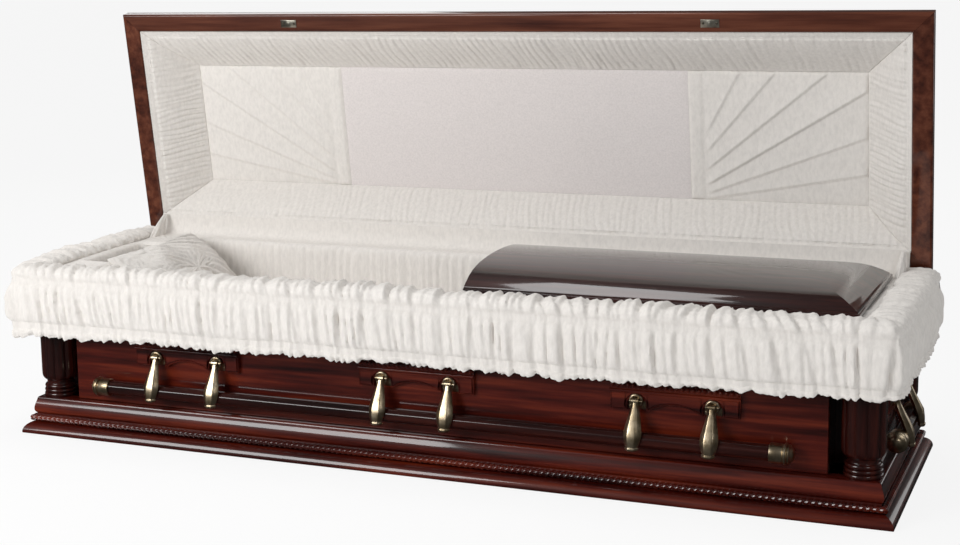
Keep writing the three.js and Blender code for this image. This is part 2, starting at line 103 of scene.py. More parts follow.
# %% [markdown]
# Dark lacquer looks black and deep only where it mirrors something dark, and white cloth shows its
# folds only when light grazes it. A bright dome would give neither. So the main light is a large
# soft box at the front left. Weaker ones overhead and at the front right open the shadows, and two
# behind draw the long streaks on the mouldings. The room fills the rest, but the lacquer mirrors a
# dark room, as it does behind a photographer.

# %% Lights and floor
def soft_light(name, place, target, size, power):
    light = bpy.data.lights.new(name, "AREA")
    light.shape = "RECTANGLE"
    light.size, light.size_y = size
    light.energy = power
    holder = bpy.data.objects.new(name, light)
    aim = Vector(target) - Vector(place)
    holder.matrix_world = Matrix.Translation(place) @ aim.to_track_quat("-Z", "Y").to_matrix().to_4x4()
    bpy.context.scene.collection.objects.link(holder)


soft_light("overhead", (-0.6, 0.2, 3.4), (0, 0, 0.3), (1.6, 0.8), 20)
soft_light("front_left", (-2.2, -3.4, 2.0), (0, 0, 0.4), (2.0, 1.8), 92)
soft_light("front_right", (3.2, -3.0, 2.6), (0.4, 0, 0.4), (1.2, 1.2), 12)
soft_light("back_right", (4.2, 4.6, 1.1), (1.0, 0.2, 0.2), (3.6, 2.2), 24)
soft_light("back_left", (-2.5, 3.4, 2.6), (0, 0.3, 0.5), (2.0, 1.2), 14)


def add_node(tree, kind, **values):
    """A shader node with values on its sockets, where underscores stand for spaces."""
    made = tree.nodes.new("ShaderNode" + kind)
    for key, value in values.items():
        made.inputs[key.replace("_", " ")].default_value = value
    return made


DIFFUSE_ROOM, MIRRORED_ROOM = 0.46, 0.05
world = bpy.data.worlds.new("studio")
world.use_nodes = True
sky = world.node_tree
ray = add_node(sky, "LightPath")
mirrored = add_node(sky, "MapRange", To_Min=DIFFUSE_ROOM, To_Max=MIRRORED_ROOM)
seen = add_node(sky, "Math")
seen.operation = "MAXIMUM"
background = sky.nodes["Background"]
background.inputs["Color"].default_value = (1, 1, 1, 1)
sky.links.new(ray.outputs["Is Glossy Ray"], mirrored.inputs["Value"])
sky.links.new(mirrored.outputs["Result"], seen.inputs[0])
sky.links.new(ray.outputs["Is Camera Ray"], seen.inputs[1])
sky.links.new(seen.outputs["Value"], background.inputs["Strength"])
bpy.context.scene.world = world
bpy.context.scene.view_settings.view_transform = "Standard"

FLOOR_HALF, FLOOR_TONE, FLOOR_DARK, FLOOR_GLOW = 30, 0.9, 0.05, 0.86
floor_mesh = bpy.data.meshes.new("floor")
floor_corners = [(x * FLOOR_HALF, y * FLOOR_HALF, 0) for x, y in ((-1, -1), (1, -1), (1, 1), (-1, 1))]
floor_mesh.from_pydata(floor_corners, [], [(0, 1, 2, 3)])
floor = bpy.data.objects.new("floor", floor_mesh)
bpy.context.scene.collection.objects.link(floor)
pale = bpy.data.materials.new("pale_floor")
pale.use_nodes = True
tree = pale.node_tree
ray = add_node(tree, "LightPath")
lit = add_node(tree, "BsdfDiffuse", Color=(FLOOR_TONE, FLOOR_TONE, FLOOR_TONE, 1))
dark = add_node(tree, "BsdfDiffuse", Color=(FLOOR_DARK, FLOOR_DARK, FLOOR_DARK, 1))
glow = add_node(tree, "Emission")


def mixed(first, second, kind_of_ray=None):
    """Two shaders: the second is for one kind of ray, or else is the glow's share of all."""
    mix = add_node(tree, "MixShader", Fac=FLOOR_GLOW)
    if kind_of_ray:
        tree.links.new(ray.outputs[kind_of_ray], mix.inputs["Fac"])
    tree.links.new(first.outputs[0], mix.inputs[1])
    tree.links.new(second.outputs[0], mix.inputs[2])
    return mix


mirrored_floor = mixed(lit, dark, "Is Glossy Ray")
shown = mixed(mirrored_floor, mixed(lit, glow), "Is Camera Ray")
tree.links.new(shown.outputs[0], tree.nodes["Material Output"].inputs["Surface"])
floor_mesh.materials.append(pale)

# %% [markdown]
# The wood is mahogany under a red stain and a thick gloss lacquer. Photographs of veneer could be
# wrapped round it, but they would stretch on the mouldings. A noise drawn out along the boards gives
# the same streaks on any shape, and a coat layer over a duller base gives the depth of lacquer.

# %% Wood
def blank_material(name, roughness, metallic=0.0):
    """A new material, with a function that adds a node and one that joins two sockets."""
    material = bpy.data.materials.new(name)
    material.use_nodes = True
    tree = material.node_tree
    shader = tree.nodes["Principled BSDF"]
    shader.inputs["Roughness"].default_value = roughness
    shader.inputs["Metallic"].default_value = metallic

    def node(kind, **values):
        return add_node(tree, kind, **values)

    return material, shader, node, tree.links.new


def stretched_noise(node, join, stretch, scale, detail=4.0):
    """A noise in the object's own space, stretched by a different amount along each axis."""
    place = node("TexCoord")
    mapping = node("Mapping", Scale=stretch)
    noise = node("TexNoise", Scale=scale, Detail=detail, Roughness=0.6)
    join(place.outputs["Object"], mapping.inputs["Vector"])
    join(mapping.outputs["Vector"], noise.inputs["Vector"])
    return noise.outputs["Fac"]


def ramp(node, join, source, stops):
    """Colours by height: stops is a list of (position, colour)."""
    band = node("ValToRGB")
    elements = band.color_ramp.elements
    while len(elements) < len(stops):
        elements.new(0.5)
    for element, (position, color) in zip(elements, stops):
        element.position = position
        element.color = (*color, 1)
    join(source, band.inputs["Fac"])
    return band.outputs["Color"]


def blended(node, join, kind, factor, first, second):
    mix = node("Mix")
    mix.data_type = "RGBA"
    mix.blend_type = kind
    mix.inputs[0].default_value = factor
    join(first, mix.inputs[6])
    join(second, mix.inputs[7])
    return mix.outputs[2]


def bumped(node, join, shader, source, strength, distance):
    bump = node("Bump", Strength=strength, Distance=distance)
    join(source, bump.inputs["Height"])
    join(bump.outputs["Normal"], shader.inputs["Normal"])


def wood(name, along, stops, gloss):
    """Stained wood with its grain along one axis: 0, 1 or 2."""
    material, shader, node, join = blank_material(name, 0.38)
    stretch = [22.0, 22.0, 22.0]
    stretch[along] = 1.1
    grain = stretched_noise(node, join, stretch, 2.2, 8.0)
    broad = [3.0, 3.0, 3.0]
    broad[along] = 0.7
    cloud = stretched_noise(node, join, broad, 1.6, 2.0)
    colour = ramp(node, join, grain, stops)
    shade = ramp(node, join, cloud, [(0.3, (0.55, 0.5, 0.5)), (0.7, (1.0, 1.0, 1.0))])
    join(blended(node, join, "MULTIPLY", 1.0, colour, shade), shader.inputs["Base Color"])
    bumped(node, join, shader, grain, 0.05, 0.001)
    shader.inputs["Specular IOR Level"].default_value = 0.22
    shader.inputs["Coat Weight"].default_value = gloss
    shader.inputs["Coat Roughness"].default_value = 0.06
    return material


STOPS = (0.32, 0.5, 0.68)  # where the grain is darkest, middling and palest
RED_STAIN = [(0.020, 0.0012, 0.0006), (0.085, 0.0065, 0.0022), (0.190, 0.0240, 0.0065)]
BROWN_STAIN = [(0.050, 0.0095, 0.0045), (0.115, 0.029, 0.0130), (0.185, 0.056, 0.027)]
# This darkest stain is also painted shade: the corner posts wear it for the shadow of their recess.
DARK_STAIN_AND_SHADE = [(0.008, 0.0008, 0.0006), (0.026, 0.0025, 0.0013), (0.058, 0.0080, 0.0036)]


def finishes(name, stain, gloss, slot, axes="xyz"):
    """The same wood once for each axis that its grain can follow, with its slot."""
    stops = list(zip(STOPS, stain))
    return [(wood(f"{name}_{axis}", i, stops, gloss), slot) for i, axis in enumerate(axes)]


WOOD = finishes("mahogany", RED_STAIN, 1.0, "mahogany")
LID_WOOD = finishes("lid_rail", BROWN_STAIN, 0.8, "lid_rail_wood", "xy")
DARK_WOOD_AND_SHADE = finishes("dark_mahogany", DARK_STAIN_AND_SHADE, 1.0, "mahogany")
print("wood finishes:", len(WOOD) + len(LID_WOOD) + len(DARK_WOOD_AND_SHADE))

# %% [markdown]
# The handles are cast in a white metal and plated in antique brass, wiped back so that the hollows
# stay brown. A noise mixes the two tones, and a fine stretched one gives the brushed look.

# %% Brass
def antique(name, bright, dark, roughness):
    material, shader, node, join = blank_material(name, roughness, 1.0)
    patina = stretched_noise(node, join, (1, 1, 1), 45.0, 5.0)
    join(ramp(node, join, patina, [(0.35, dark), (0.62, bright)]), shader.inputs["Base Color"])
    brushing = stretched_noise(node, join, (1, 1, 14), 260.0, 2.0)
    bumped(node, join, shader, brushing, 0.12, 0.0004)
    return material, "antique_brass"


BRASS = antique("antique_brass", (0.70, 0.58, 0.41), (0.40, 0.305, 0.185), 0.33)
PALE_METAL = antique("pale_metal", (0.62, 0.59, 0.50), (0.34, 0.32, 0.26), 0.34)
DULL_METAL = antique("dull_metal", (0.20, 0.18, 0.14), (0.09, 0.08, 0.06), 0.42)

# %% [markdown]
# The cloth is a white crepe: matt, with a fine dry crinkle all over. Real folds are geometry here,
# so the material only adds the weave and the crinkle that are too small for the mesh, and a soft
# sheen at the edges of the folds. Its colour follows the crinkle's bump: painted shade in the hollows
# and painted light on the ridges. The plain middle panel of the lid is a shade pinker.

# %% Cloth
def cloth(name, tone, crinkle_stretch):
    material, shader, node, join = blank_material(name, 0.9)
    crinkle = stretched_noise(node, join, crinkle_stretch, 1.0, 5.0)
    weave = stretched_noise(node, join, (900, 900, 900), 1.0, 1.0)
    crinkle_painted_light = tuple(min(1.0, c * 1.04) for c in tone)
    crinkle_painted_shade = tuple(c * 0.93 for c in tone)
    # The ramp follows the same crinkle as the bump: painted shade in its hollows, painted light on its
    # ridges.
    join(ramp(node, join, crinkle, [(0.3, crinkle_painted_shade), (0.62, crinkle_painted_light)]), shader.inputs["Base Color"])
    height = blended(node, join, "MIX", 0.25, crinkle, weave)
    bumped(node, join, shader, height, 0.45, 0.0022)
    shader.inputs["Sheen Weight"].default_value = 0.12
    shader.inputs["Sheen Roughness"].default_value = 0.5
    return material, "lining_fabric"


WHITE = (0.80, 0.765, 0.725)
PINKISH = (0.775, 0.725, 0.71)
CREPE = cloth("white_crepe", WHITE, (150, 150, 45))
LID_CREPE = cloth("lid_crepe", WHITE, (130, 130, 60))
PLAIN_CREPE = cloth("plain_crepe", PINKISH, (220, 220, 220))

# %% [markdown]
# Every piece is a skin over a row of rings, like ribs in a hull. A ring is the section of a
# moulding, the slice of a handle or the line of a fold, so one function closes them all.

# %% Skins over rings
def skin(rings, closed=False):
    """Points and faces of the surface over rings, an array of rings x points x 3."""
    rings = np.asarray(rings, float)
    count, around = rings.shape[:2]
    index = np.arange(count * around).reshape(count, around)
    here, there = (index, np.roll(index, -1, axis=0)) if closed else (index[:-1], index[1:])
    faces = np.stack([here, np.roll(here, -1, 1), np.roll(there, -1, 1), there], axis=-1)
    faces = faces.reshape(-1, 4).tolist()
    if not closed:
        faces += [index[0][::-1].tolist(), index[-1].tolist()]
    return rings.reshape(-1, 3), faces


def make(name, parts, finish, body="casket_body", stands_for=(), smooth=40):
    """Builds one piece from skins, gives it its finish and lets it ride on a body."""
    points, faces = [], []
    for part_points, part_faces in parts:
        start = len(points)
        points.extend(part_points.tolist())
        faces.extend([start + i for i in face] for face in part_faces)
    mesh = bpy.data.meshes.new(name)
    mesh.from_pydata(points, [], faces)
    material, slot = finish
    mesh.materials.append(material)
    shape = bmesh.new()
    shape.from_mesh(mesh)
    bmesh.ops.recalc_face_normals(shape, faces=shape.faces)
    shape.to_mesh(mesh)
    shape.free()
    mesh.polygons.foreach_set("use_smooth", [True] * len(mesh.polygons))
    mesh.set_sharp_from_angle(angle=math.radians(smooth))
    piece = bpy.data.objects.new(name, mesh)
    bpy.context.scene.collection.objects.link(piece)
    if body:
        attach(piece, body)
    if stands_for:
        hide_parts(*stands_for)
    return piece


def rounded(outline, radius, steps=3):
    """Rounds every corner of a closed outline."""
    outline = np.asarray(outline, float)
    softened = []
    for before, here, after in zip(np.roll(outline, 1, 0), outline, np.roll(outline, -1, 0)):
        back, on = before - here, after - here
        start = here + back * min(radius / np.linalg.norm(back), 0.45)
        end = here + on * min(radius / np.linalg.norm(on), 0.45)
        for t in np.linspace(0, 1, steps + 1):
            softened.append((1 - t) ** 2 * start + 2 * t * (1 - t) * here + t * t * end)
    return np.array(softened)


def flowing(points, count):
    """A smooth curve through points, cut into count stations. Each column is a value."""
    points = np.asarray(points, float)
    padded = np.vstack([2 * points[0] - points[1], points, 2 * points[-1] - points[-2]])
    place = np.linspace(0, len(points) - 1, count)
    i = np.minimum(place.astype(int), len(points) - 2)
    t = (place - i)[:, None]
    a, b, c, d = padded[i], padded[i + 1], padded[i + 2], padded[i + 3]
    square, cube = 2 * a - 5 * b + 4 * c - d, 3 * b - a - 3 * c + d
    return 0.5 * (2 * b + (c - a) * t + square * t ** 2 + cube * t ** 3)


def box_skin(low, high, bevel=1.5 * MM):
    """A board with softened edges."""
    low, high = np.array(low), np.array(high)
    rings = []
    for z, inset in ((low[2], bevel), (low[2] + bevel, 0), (high[2] - bevel, 0), (high[2], bevel)):
        x0, y0, x1, y1 = low[0] + inset, low[1] + inset, high[0] - inset, high[1] - inset
        plan = rounded([(x0, y0), (x1, y0), (x1, y1), (x0, y1)], bevel, 2)
        rings.append(at_height(plan, z))
    return skin(rings)


def circle(sides):
    """Even angles once round."""
    return np.linspace(0, 2 * math.pi, sides, endpoint=False)


def lathe(profile, sides, axis="z"):
    """A turned piece from [height, radius] rows, standing along an axis."""
    profile = np.asarray(profile, float)
    angle = circle(sides)
    height = np.repeat(profile[:, :1], sides, 1)
    first, second = profile[:, 1:] * np.cos(angle), profile[:, 1:] * np.sin(angle)
    order = {"x": (height, first, second), "y": (first, height, second), "z": (first, second, height)}[axis]
    return skin(np.stack(order, axis=-1))


def moved(part, x=0.0, y=0.0, z=0.0):
    return part[0] + np.array([x, y, z]), part[1]


def at_height(plan, z):
    """A ring: the points of a plan, all at one height."""
    return np.column_stack([plan, np.full(len(plan), z)])

# %% [markdown]
# A moulding is one section pushed round the four sides and mitred at the corners. Each side is its
# own length of wood, as on the real casket. The sections are in millimetres: how far in from the
# outer edge, and how high.

# %% Mouldings
SIDES = ["front", "foot", "back", "head"]
CORNERS = ["front_head", "front_foot", "back_head", "back_foot"]
GRAIN = {"front": 0, "back": 0, "foot": 1, "head": 1}
MITRE_GAP = 0.3 * MM


def ring_corners(half_x, half_y, front=1.0, back=1.0, end=1.0):
    """Corners with the directions in which an inset runs."""
    return [(-half_x, -half_y, end, front), (half_x, -half_y, -end, front),
            (half_x, half_y, -end, -back), (-half_x, half_y, end, -back)]


def run_section(section, stations):
    section = np.asarray(section) * MM
    return np.array([[(x + u * dx, y + u * dy, z) for u, z in section] for x, y, dx, dy in stations])


def side_of(corners, side):
    """The two stations of one side, drawn in by the gap that a mitre keeps."""
    i = SIDES.index(side)
    start, end = np.array(corners[i]), np.array(corners[(i + 1) % 4])
    step = (end - start)[:2]
    step *= MITRE_GAP / np.linalg.norm(step)
    start[:2] += step
    end[:2] -= step
    return start, end


BASE_SECTION = [
    (0, 0), (0, 6), (2, 12), (6, 18), (12, 23), (18, 26), (21, 27), (27, 27), (29, 30), (29, 44), (30, 47),
    (26, 51), (24, 56), (24, 62), (25.5, 69), (28, 76), (30, 82), (31, 87), (34, 90), (70, 90), (70, 0),
]
base_low, base_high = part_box("base_moulding_front")
BASE_X, BASE_Y = base_high.x + MITRE_GAP, -base_low.y
base_section = rounded(BASE_SECTION, 3.2)
base_corners = ring_corners(BASE_X, BASE_Y)
for side in SIDES:
    length = skin(run_section(base_section, side_of(base_corners, side)))
    make(f"base_{side}", [length], WOOD[GRAIN[side]], stands_for=[f"base_moulding_{side}"])
print("base", round(2 * BASE_X, 3), "x", round(2 * BASE_Y, 3))

# %% [markdown]
# A rope is carved into the channel of the base. It could be a twisted cord laid in, but on the real
# piece it is wood: half-round strands that lean round a rod. The rings of the mesh lean with the
# strands, so a few rings to each strand already draw a clean groove.

# %% Rope carving
ROPE_PITCH, ROPE_STRANDS, RINGS_PER_STRAND, ROPE_SIDES = 13.7 * MM, 2, 7, 14
rope_low, rope_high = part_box("rope_moulding")
ROPE_RADIUS = (rope_high.z - rope_low.z) / 2 + 0.8 * MM
ROPE_Z = (rope_high.z + rope_low.z) / 2
ROPE_X, ROPE_Y = rope_high.x - ROPE_RADIUS, rope_high.y - ROPE_RADIUS


def round_rectangle(distance, outward, half_x, half_y):
    """A point this far along a rectangle and this far outside it. Both may be arrays."""
    lengths = np.array([2 * half_x, 2 * half_y, 2 * half_x, 2 * half_y])
    ends = np.cumsum(lengths)
    distance = np.mod(distance, ends[-1])
    side = np.minimum(np.searchsorted(ends, distance, side="right"), 3)
    share = (distance - (ends - lengths)[side]) / lengths[side] * 2 - 1
    across_x, across_y = half_x + outward, half_y + outward
    x = np.choose(side, [share * across_x, across_x, -share * across_x, -across_x])
    y = np.choose(side, [-across_y, share * across_y, across_y, -share * across_y])
    return x, y


perimeter = 4 * (ROPE_X + ROPE_Y)
strands = round(perimeter / ROPE_PITCH)
pitch_fitted = perimeter / strands
step = np.arange(strands * RINGS_PER_STRAND) / RINGS_PER_STRAND
angle = circle(ROPE_SIDES)
bulge = 0.72 + 0.30 * np.abs(np.sin(math.pi * step)) ** 0.8
outward = ROPE_RADIUS * bulge[:, None] * np.cos(angle)
height = ROPE_Z + ROPE_RADIUS * bulge[:, None] * np.sin(angle)
distance = pitch_fitted * (step[:, None] + ROPE_STRANDS * angle / (2 * math.pi))
x, y = round_rectangle(distance, outward, ROPE_X, ROPE_Y)
rope = skin(np.stack([x, y, height], -1), closed=True)
make("rope_carving", [rope], WOOD[0], stands_for=["rope_moulding"], smooth=60)
print("rope strands:", strands)

# %% [markdown]
# The walls are flat lacquered boards. What sells them is the light that catches a softened edge, so
# each board is remade with its arrises eased by a millimetre and a half. The posts and the bottom
# board are hardly seen, so they keep the frame's plain shape and only take the finish. On the posts
# that finish is the near-black stain, which is painted shade for the corner recess they stand in.

# %% Walls
for side in SIDES:
    low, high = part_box(f"panel_{side}")
    make(f"wall_{side}", [box_skin(low, high)], WOOD[GRAIN[side]], stands_for=[f"panel_{side}"])
for corner in CORNERS:
    # The near-black stain on the posts is painted shade for the dark corner recess they stand in.
    frame["nodes"][f"corner_post_{corner}"].data.materials[0] = DARK_WOOD_AND_SHADE[2][0]
frame["nodes"]["bottom_board"].data.materials[0] = WOOD[0][0]

# %% [markdown]
# The corner columns are turned and then reeded: ten rounded ribs on the shaft and three rings at the
# foot. A lathe profile gives the rings. The ribs are a ripple added to the radius of the shaft
# alone, so that they die out where the turner's chisel would leave them.

# %% Corner columns
REEDS, REED_DEPTH = 10, 3.6
COLUMN_PROFILE = [
    (90.3, 39), (92, 40.5), (95.5, 41), (99, 39.5), (100.5, 36.5), (102, 39), (105.5, 40.3), (109, 38.8),
    (110.5, 35.8), (112, 38), (116, 39.3), (120, 37.5), (122, 34), (127, 33.5), (131, 34.5), (134, 38.5),
    (139, 43), (146, 45.6), (156, 46), (200, 46), (260, 46), (318, 46), (329, 45.6), (336, 43), (341, 38),
    (344, 34), (347, 35), (350, 38), (356, 40), (363.5, 40),
]
SHAFT_LOW, SHAFT_HIGH, SHAFT_FADE = 131, 343, 14


def column(x, y):
    profile = flowing(COLUMN_PROFILE, 110)
    profile = profile[np.argsort(profile[:, 0])]
    z, radius = profile[:, :1], profile[:, 1:]
    fade = np.clip((z - SHAFT_LOW) / SHAFT_FADE, 0, 1) * np.clip((SHAFT_HIGH - z) / SHAFT_FADE, 0, 1)
    angle = circle(REEDS * 10)
    groove = 1 - np.abs(np.sin(REEDS / 2 * angle)) ** 0.55
    reach = radius - REED_DEPTH * fade * groove
    rings = np.stack([x + MM * reach * np.cos(angle), y + MM * reach * np.sin(angle),
                      MM * np.repeat(z, len(angle), 1)], -1)
    return skin(rings)


for corner in CORNERS:
    low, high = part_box(f"corner_column_{corner}")
    piece = column((low.x + high.x) / 2, (low.y + high.y) / 2)
    make(f"column_{corner}", [piece], DARK_WOOD_AND_SHADE[2], stands_for=[f"corner_column_{corner}"])

# %% [markdown]
# The top rim is a moulded frame with a square block over each column. It is one piece here, because
# the skirt hides its joints on three sides and the hinge covers the fourth.

# %% Top rim
rim_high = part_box("top_rim")[1]
RIM_X, RIM_Y, RIM_TOP = rim_high.x, rim_high.y, rim_high.z / MM
RIM_SECTION = [
    (0, 394), (0, 406), (4, RIM_TOP), (54, RIM_TOP), (54, 385), (35.7, 385), (35.7, 364), (30, 364),
    (28, 369), (24, 375), (16, 381), (7, 386),
]
rim_parts = [skin(run_section(rounded(RIM_SECTION, 2.5), ring_corners(RIM_X, RIM_Y)), closed=True)]
BLOCK_INNER = (0.9223, 0.1773)  # where the block over a column starts, from the middle
BLOCK_OUTER, BLOCK_LOW, BLOCK_TOP = 31 * MM, 0.3645, 0.409
for sx in (-1, 1):
    for sy in (-1, 1):
        xs = sorted((sx * BLOCK_INNER[0], sx * (RIM_X - BLOCK_OUTER)))
        ys = sorted((sy * BLOCK_INNER[1], sy * (RIM_Y - BLOCK_OUTER)))
        rim_parts.append(box_skin((xs[0], ys[0], BLOCK_LOW), (xs[1], ys[1], BLOCK_TOP)))
make("rim_frame", rim_parts, WOOD[0], stands_for=["top_rim"])

# %% [markdown]
# The lid was drawn shut, so its sections read like those of the base, and is then swung open about
# its hinge. Its rail is browner than the walls, and a tall cove climbs from the rail to the raised
# top board.

# %% Lid shell
hinge = next(joint for joint in frame["joints"] if joint["name"] == "lid_hinge")
HINGE_Y, HINGE_Z = hinge["pos_m"][1:]
OPEN_ANGLE = math.radians(hinge["range_deg"][1])
LID_BASE = 412.5


def opened(part):
    """Swings a part that was drawn on the shut lid to where the open lid holds it."""
    points = np.array(part[0], float)
    y, z = points[:, 1] - HINGE_Y, points[:, 2] - HINGE_Z
    points[:, 1] = HINGE_Y + y * math.cos(OPEN_ANGLE) + z * math.sin(OPEN_ANGLE)
    points[:, 2] = HINGE_Z - y * math.sin(OPEN_ANGLE) + z * math.cos(OPEN_ANGLE)
    return points, part[1]


RAIL_SECTION = [
    (3, LID_BASE), (0, 415.5), (0, 442.5), (4, 446.5), (46, 446.5), (46, 415.5), (43, LID_BASE),
]
COVE_SECTION = [
    (6, 446.8), (7, 451), (12, 455), (15, 457), (17, 466), (20, 481), (25, 497), (31, 507), (39, 516),
    (53, 526), (70, 534), (84, 538), (84, 549), (98, 549), (98, 536), (78, 524), (60, 514), (46, 500),
    (38, 485), (34, 470), (32, 446.8),
]
lid_corners = ring_corners(RIM_X, RIM_Y)
for side in SIDES:
    rail = skin(run_section(rounded(RAIL_SECTION, 2.0), side_of(lid_corners, side)))
    make(f"rail_{side}", [opened(rail)], LID_WOOD[GRAIN[side]], "lid", [f"lid_rail_{side}"])
    cove = skin(run_section(rounded(COVE_SECTION, 2.6), side_of(lid_corners, side)))
    make(f"cove_{side}", [opened(cove)], WOOD[GRAIN[side]], "lid", [f"lid_cove_{side}"])

TOP_BOARD = [(72, 549.3), (69, 552), (69, 555), (73, 558), (80, 559), (84, 562), (120, 565.5), (200, 572)]
levels = []
for inset, z in flowing(TOP_BOARD, 30):
    half_x, half_y = RIM_X - inset * MM, RIM_Y - inset * MM
    plan = rounded([(-half_x, -half_y), (half_x, -half_y), (half_x, half_y), (-half_x, half_y)], 4 * MM, 3)
    levels.append(at_height(plan, z * MM))
make("lid_top_board", [opened(skin(levels))], WOOD[0], "lid", ["lid_top_panel"])

# %% [markdown]
# Gathered cloth looks random but is not. A stitch pulls it into tight, even puckers, and away from
# the stitch the puckers join into fewer, broader folds that wander sideways. Each fold swells
# slowly and then tucks under at a sharp crease, so the ripple here is a soft saw tooth, not a wave.

# %% Folds
def scatter(cell, seed):
    """A repeatable random number between -1 and 1 for each whole number."""
    return np.mod(np.sin(cell * 12.9898 + seed * 78.233) * 43758.5453, 1.0) * 2 - 1


def drift(x, y, seed):
    """Soft random change over two directions, between -1 and 1."""
    x, y = np.broadcast_arrays(np.asarray(x, float), np.asarray(y, float))
    cx, cy = np.floor(x), np.floor(y)
    fx, fy = x - cx, y - cy
    fx, fy = fx * fx * (3 - 2 * fx), fy * fy * (3 - 2 * fy)

    def corner(i, j):
        return scatter(cx + i + 57.0 * (cy + j), seed)

    low = corner(0, 0) * (1 - fx) + corner(1, 0) * fx
    high = corner(0, 1) * (1 - fx) + corner(1, 1) * fx
    return low * (1 - fy) + high * fy


def folds(along, down, period, lean, seed, crease=0.16, wander=0.6):
    """Tucked folds from 0 to 1: each swells slowly and drops at a sharp crease, and they wander."""
    sway = wander * drift(along / (2.6 * period), down * 1.6, seed)
    sway = sway + 0.5 * wander * drift(along / (7 * period), down, seed + 1)
    phase = np.mod(along / period + lean * down + sway, 1.0)
    swell = np.sin(math.pi / 2 * np.clip(phase / (1 - crease), 0, 1)) ** 0.8
    drop = 1 - np.clip((phase - 1 + crease) / crease, 0, 1)
    return swell * drop * (0.7 + 0.3 * drift(along / (1.7 * period), down * 1.3, seed + 3))


def near(value, centre, width):
    """1 at the centre, fading to 0 over the width on both sides."""
    return np.exp(-((value - centre) / width) ** 2)


def shell(outer, thickness, inward):
    """Rings of a cloth with a back: outer is stations x rows x 3, inward is each station's way in."""
    back = outer[:, ::-6] + inward[:, None, :] * thickness
    return np.concatenate([outer, back], axis=1)

# %% [markdown]
# The skirt is the piece that the eye goes to. It is a wide band of crepe, sewn inside the rim,
# rolled over it and hanging half way down the walls on the front and both ends. Two pairs of
# gathering stitches run round it. Cloth simulation could drop it over the rim, but it can't know
# where the stitches pull, so the folds are laid out by formula around the stitch lines.

# %% Overlay skirt
SKIRT_SECTION = [
    (-50, 411.5), (-53, 419), (-46, 427), (-24, 431), (4, 430), (20, 420), (28, 402), (31, 372), (31, 335),
    (29, 298), (25, 274), (19, 263),
]
SKIRT_ROWS, SKIRT_STEP = 72, 3.7 * MM
CORNER_RADIUS = 54 * MM
STITCH_ROWS = (0.552, 0.586, 0.852, 0.884)  # where the gathering stitches run, as shares of the depth
SKIRT_BACK = 0.296  # where it ends, under the lid's rail
HEM_SLOPE = 9.0 / 1051  # the hem climbs towards the foot end
CORNER_SQUARE, CORNER_STATIONS = 0.75, 17  # 0 would turn the corner on a circle, and 1 squarely
CLOTH_THICKNESS = 3.0 * MM


def skirt_path():
    """Stations round the rim from the back of the head end to the back of the foot end."""
    cx, cy = RIM_X - CORNER_RADIUS, RIM_Y - CORNER_RADIUS
    points = [(-RIM_X, SKIRT_BACK, -1.0, 0.0)]

    def bend(centre_x, start):
        for angle in np.linspace(start, start + math.pi / 2, CORNER_STATIONS):
            c, s = math.cos(angle), math.sin(angle)
            reach = 1 + (1 / max(abs(c), abs(s)) - 1) * CORNER_SQUARE
            x, y = centre_x + CORNER_RADIUS * c * reach, -cy + CORNER_RADIUS * s * reach
            points.append((x, y, c * reach, s * reach))

    bend(-cx, math.pi)
    bend(cx, 1.5 * math.pi)
    points.append((RIM_X, SKIRT_BACK, 1.0, 0.0))
    points = np.array(points)
    gaps = np.linalg.norm(np.diff(points[:, :2], axis=0), axis=1)
    travelled = np.concatenate([[0], np.cumsum(gaps)])
    count = int(travelled[-1] / SKIRT_STEP)
    even = np.linspace(0, travelled[-1], count)
    return even, np.column_stack([np.interp(even, travelled, points[:, k]) for k in range(4)])


def skirt_relief(s, t):
    """How far the cloth stands out, in mm, at a length along the path and a share of its depth."""
    stitched = sum(near(t, row, 0.013) for row in STITCH_ROWS)
    between = near(t, 0.569, 0.014) + near(t, 0.868, 0.014)
    calm = 1 - 0.8 * np.clip(near(t, 0.569, 0.05) + near(t, 0.868, 0.045), 0, 1)
    lean = 0.5 * drift(s / 0.35, 0 * t, 11) - 0.9
    broad = folds(s, lean * t, 0.058, 1.0, 21, 0.12, 0.8)
    middle = folds(s, lean * t * 1.4, 0.027, 1.0, 31, 0.16, 0.8)
    fine = folds(s, t * 2.0, 0.0135, -0.3, 41, 0.3, 0.5)
    pucker = folds(s, t * 3.0, 0.0105, 0.0, 51, 0.4, 0.4)
    cross = folds(t * 0.25 + 0.02 * drift(s / 0.03, t * 3, 56), s * 6, 0.021, 0.0, 57, 0.3, 0.9)
    swell = 4.5 * drift(s / 0.11, t * 2.6, 61)
    hem = np.clip((t - 0.895) / 0.10, 0, 1)
    relief = calm * (11.0 * broad + 8.0 * middle + 2.0 * fine + 2.6 * cross) + swell
    relief += 3.4 * pucker * np.clip(stitched + between + 0.3 * hem, 0, 1)
    relief -= 3.6 * stitched
    relief += 5.5 * hem * (folds(s, t, 0.0145, 0.2, 71, 0.35, 0.4) - 0.4)
    return relief - 10.0


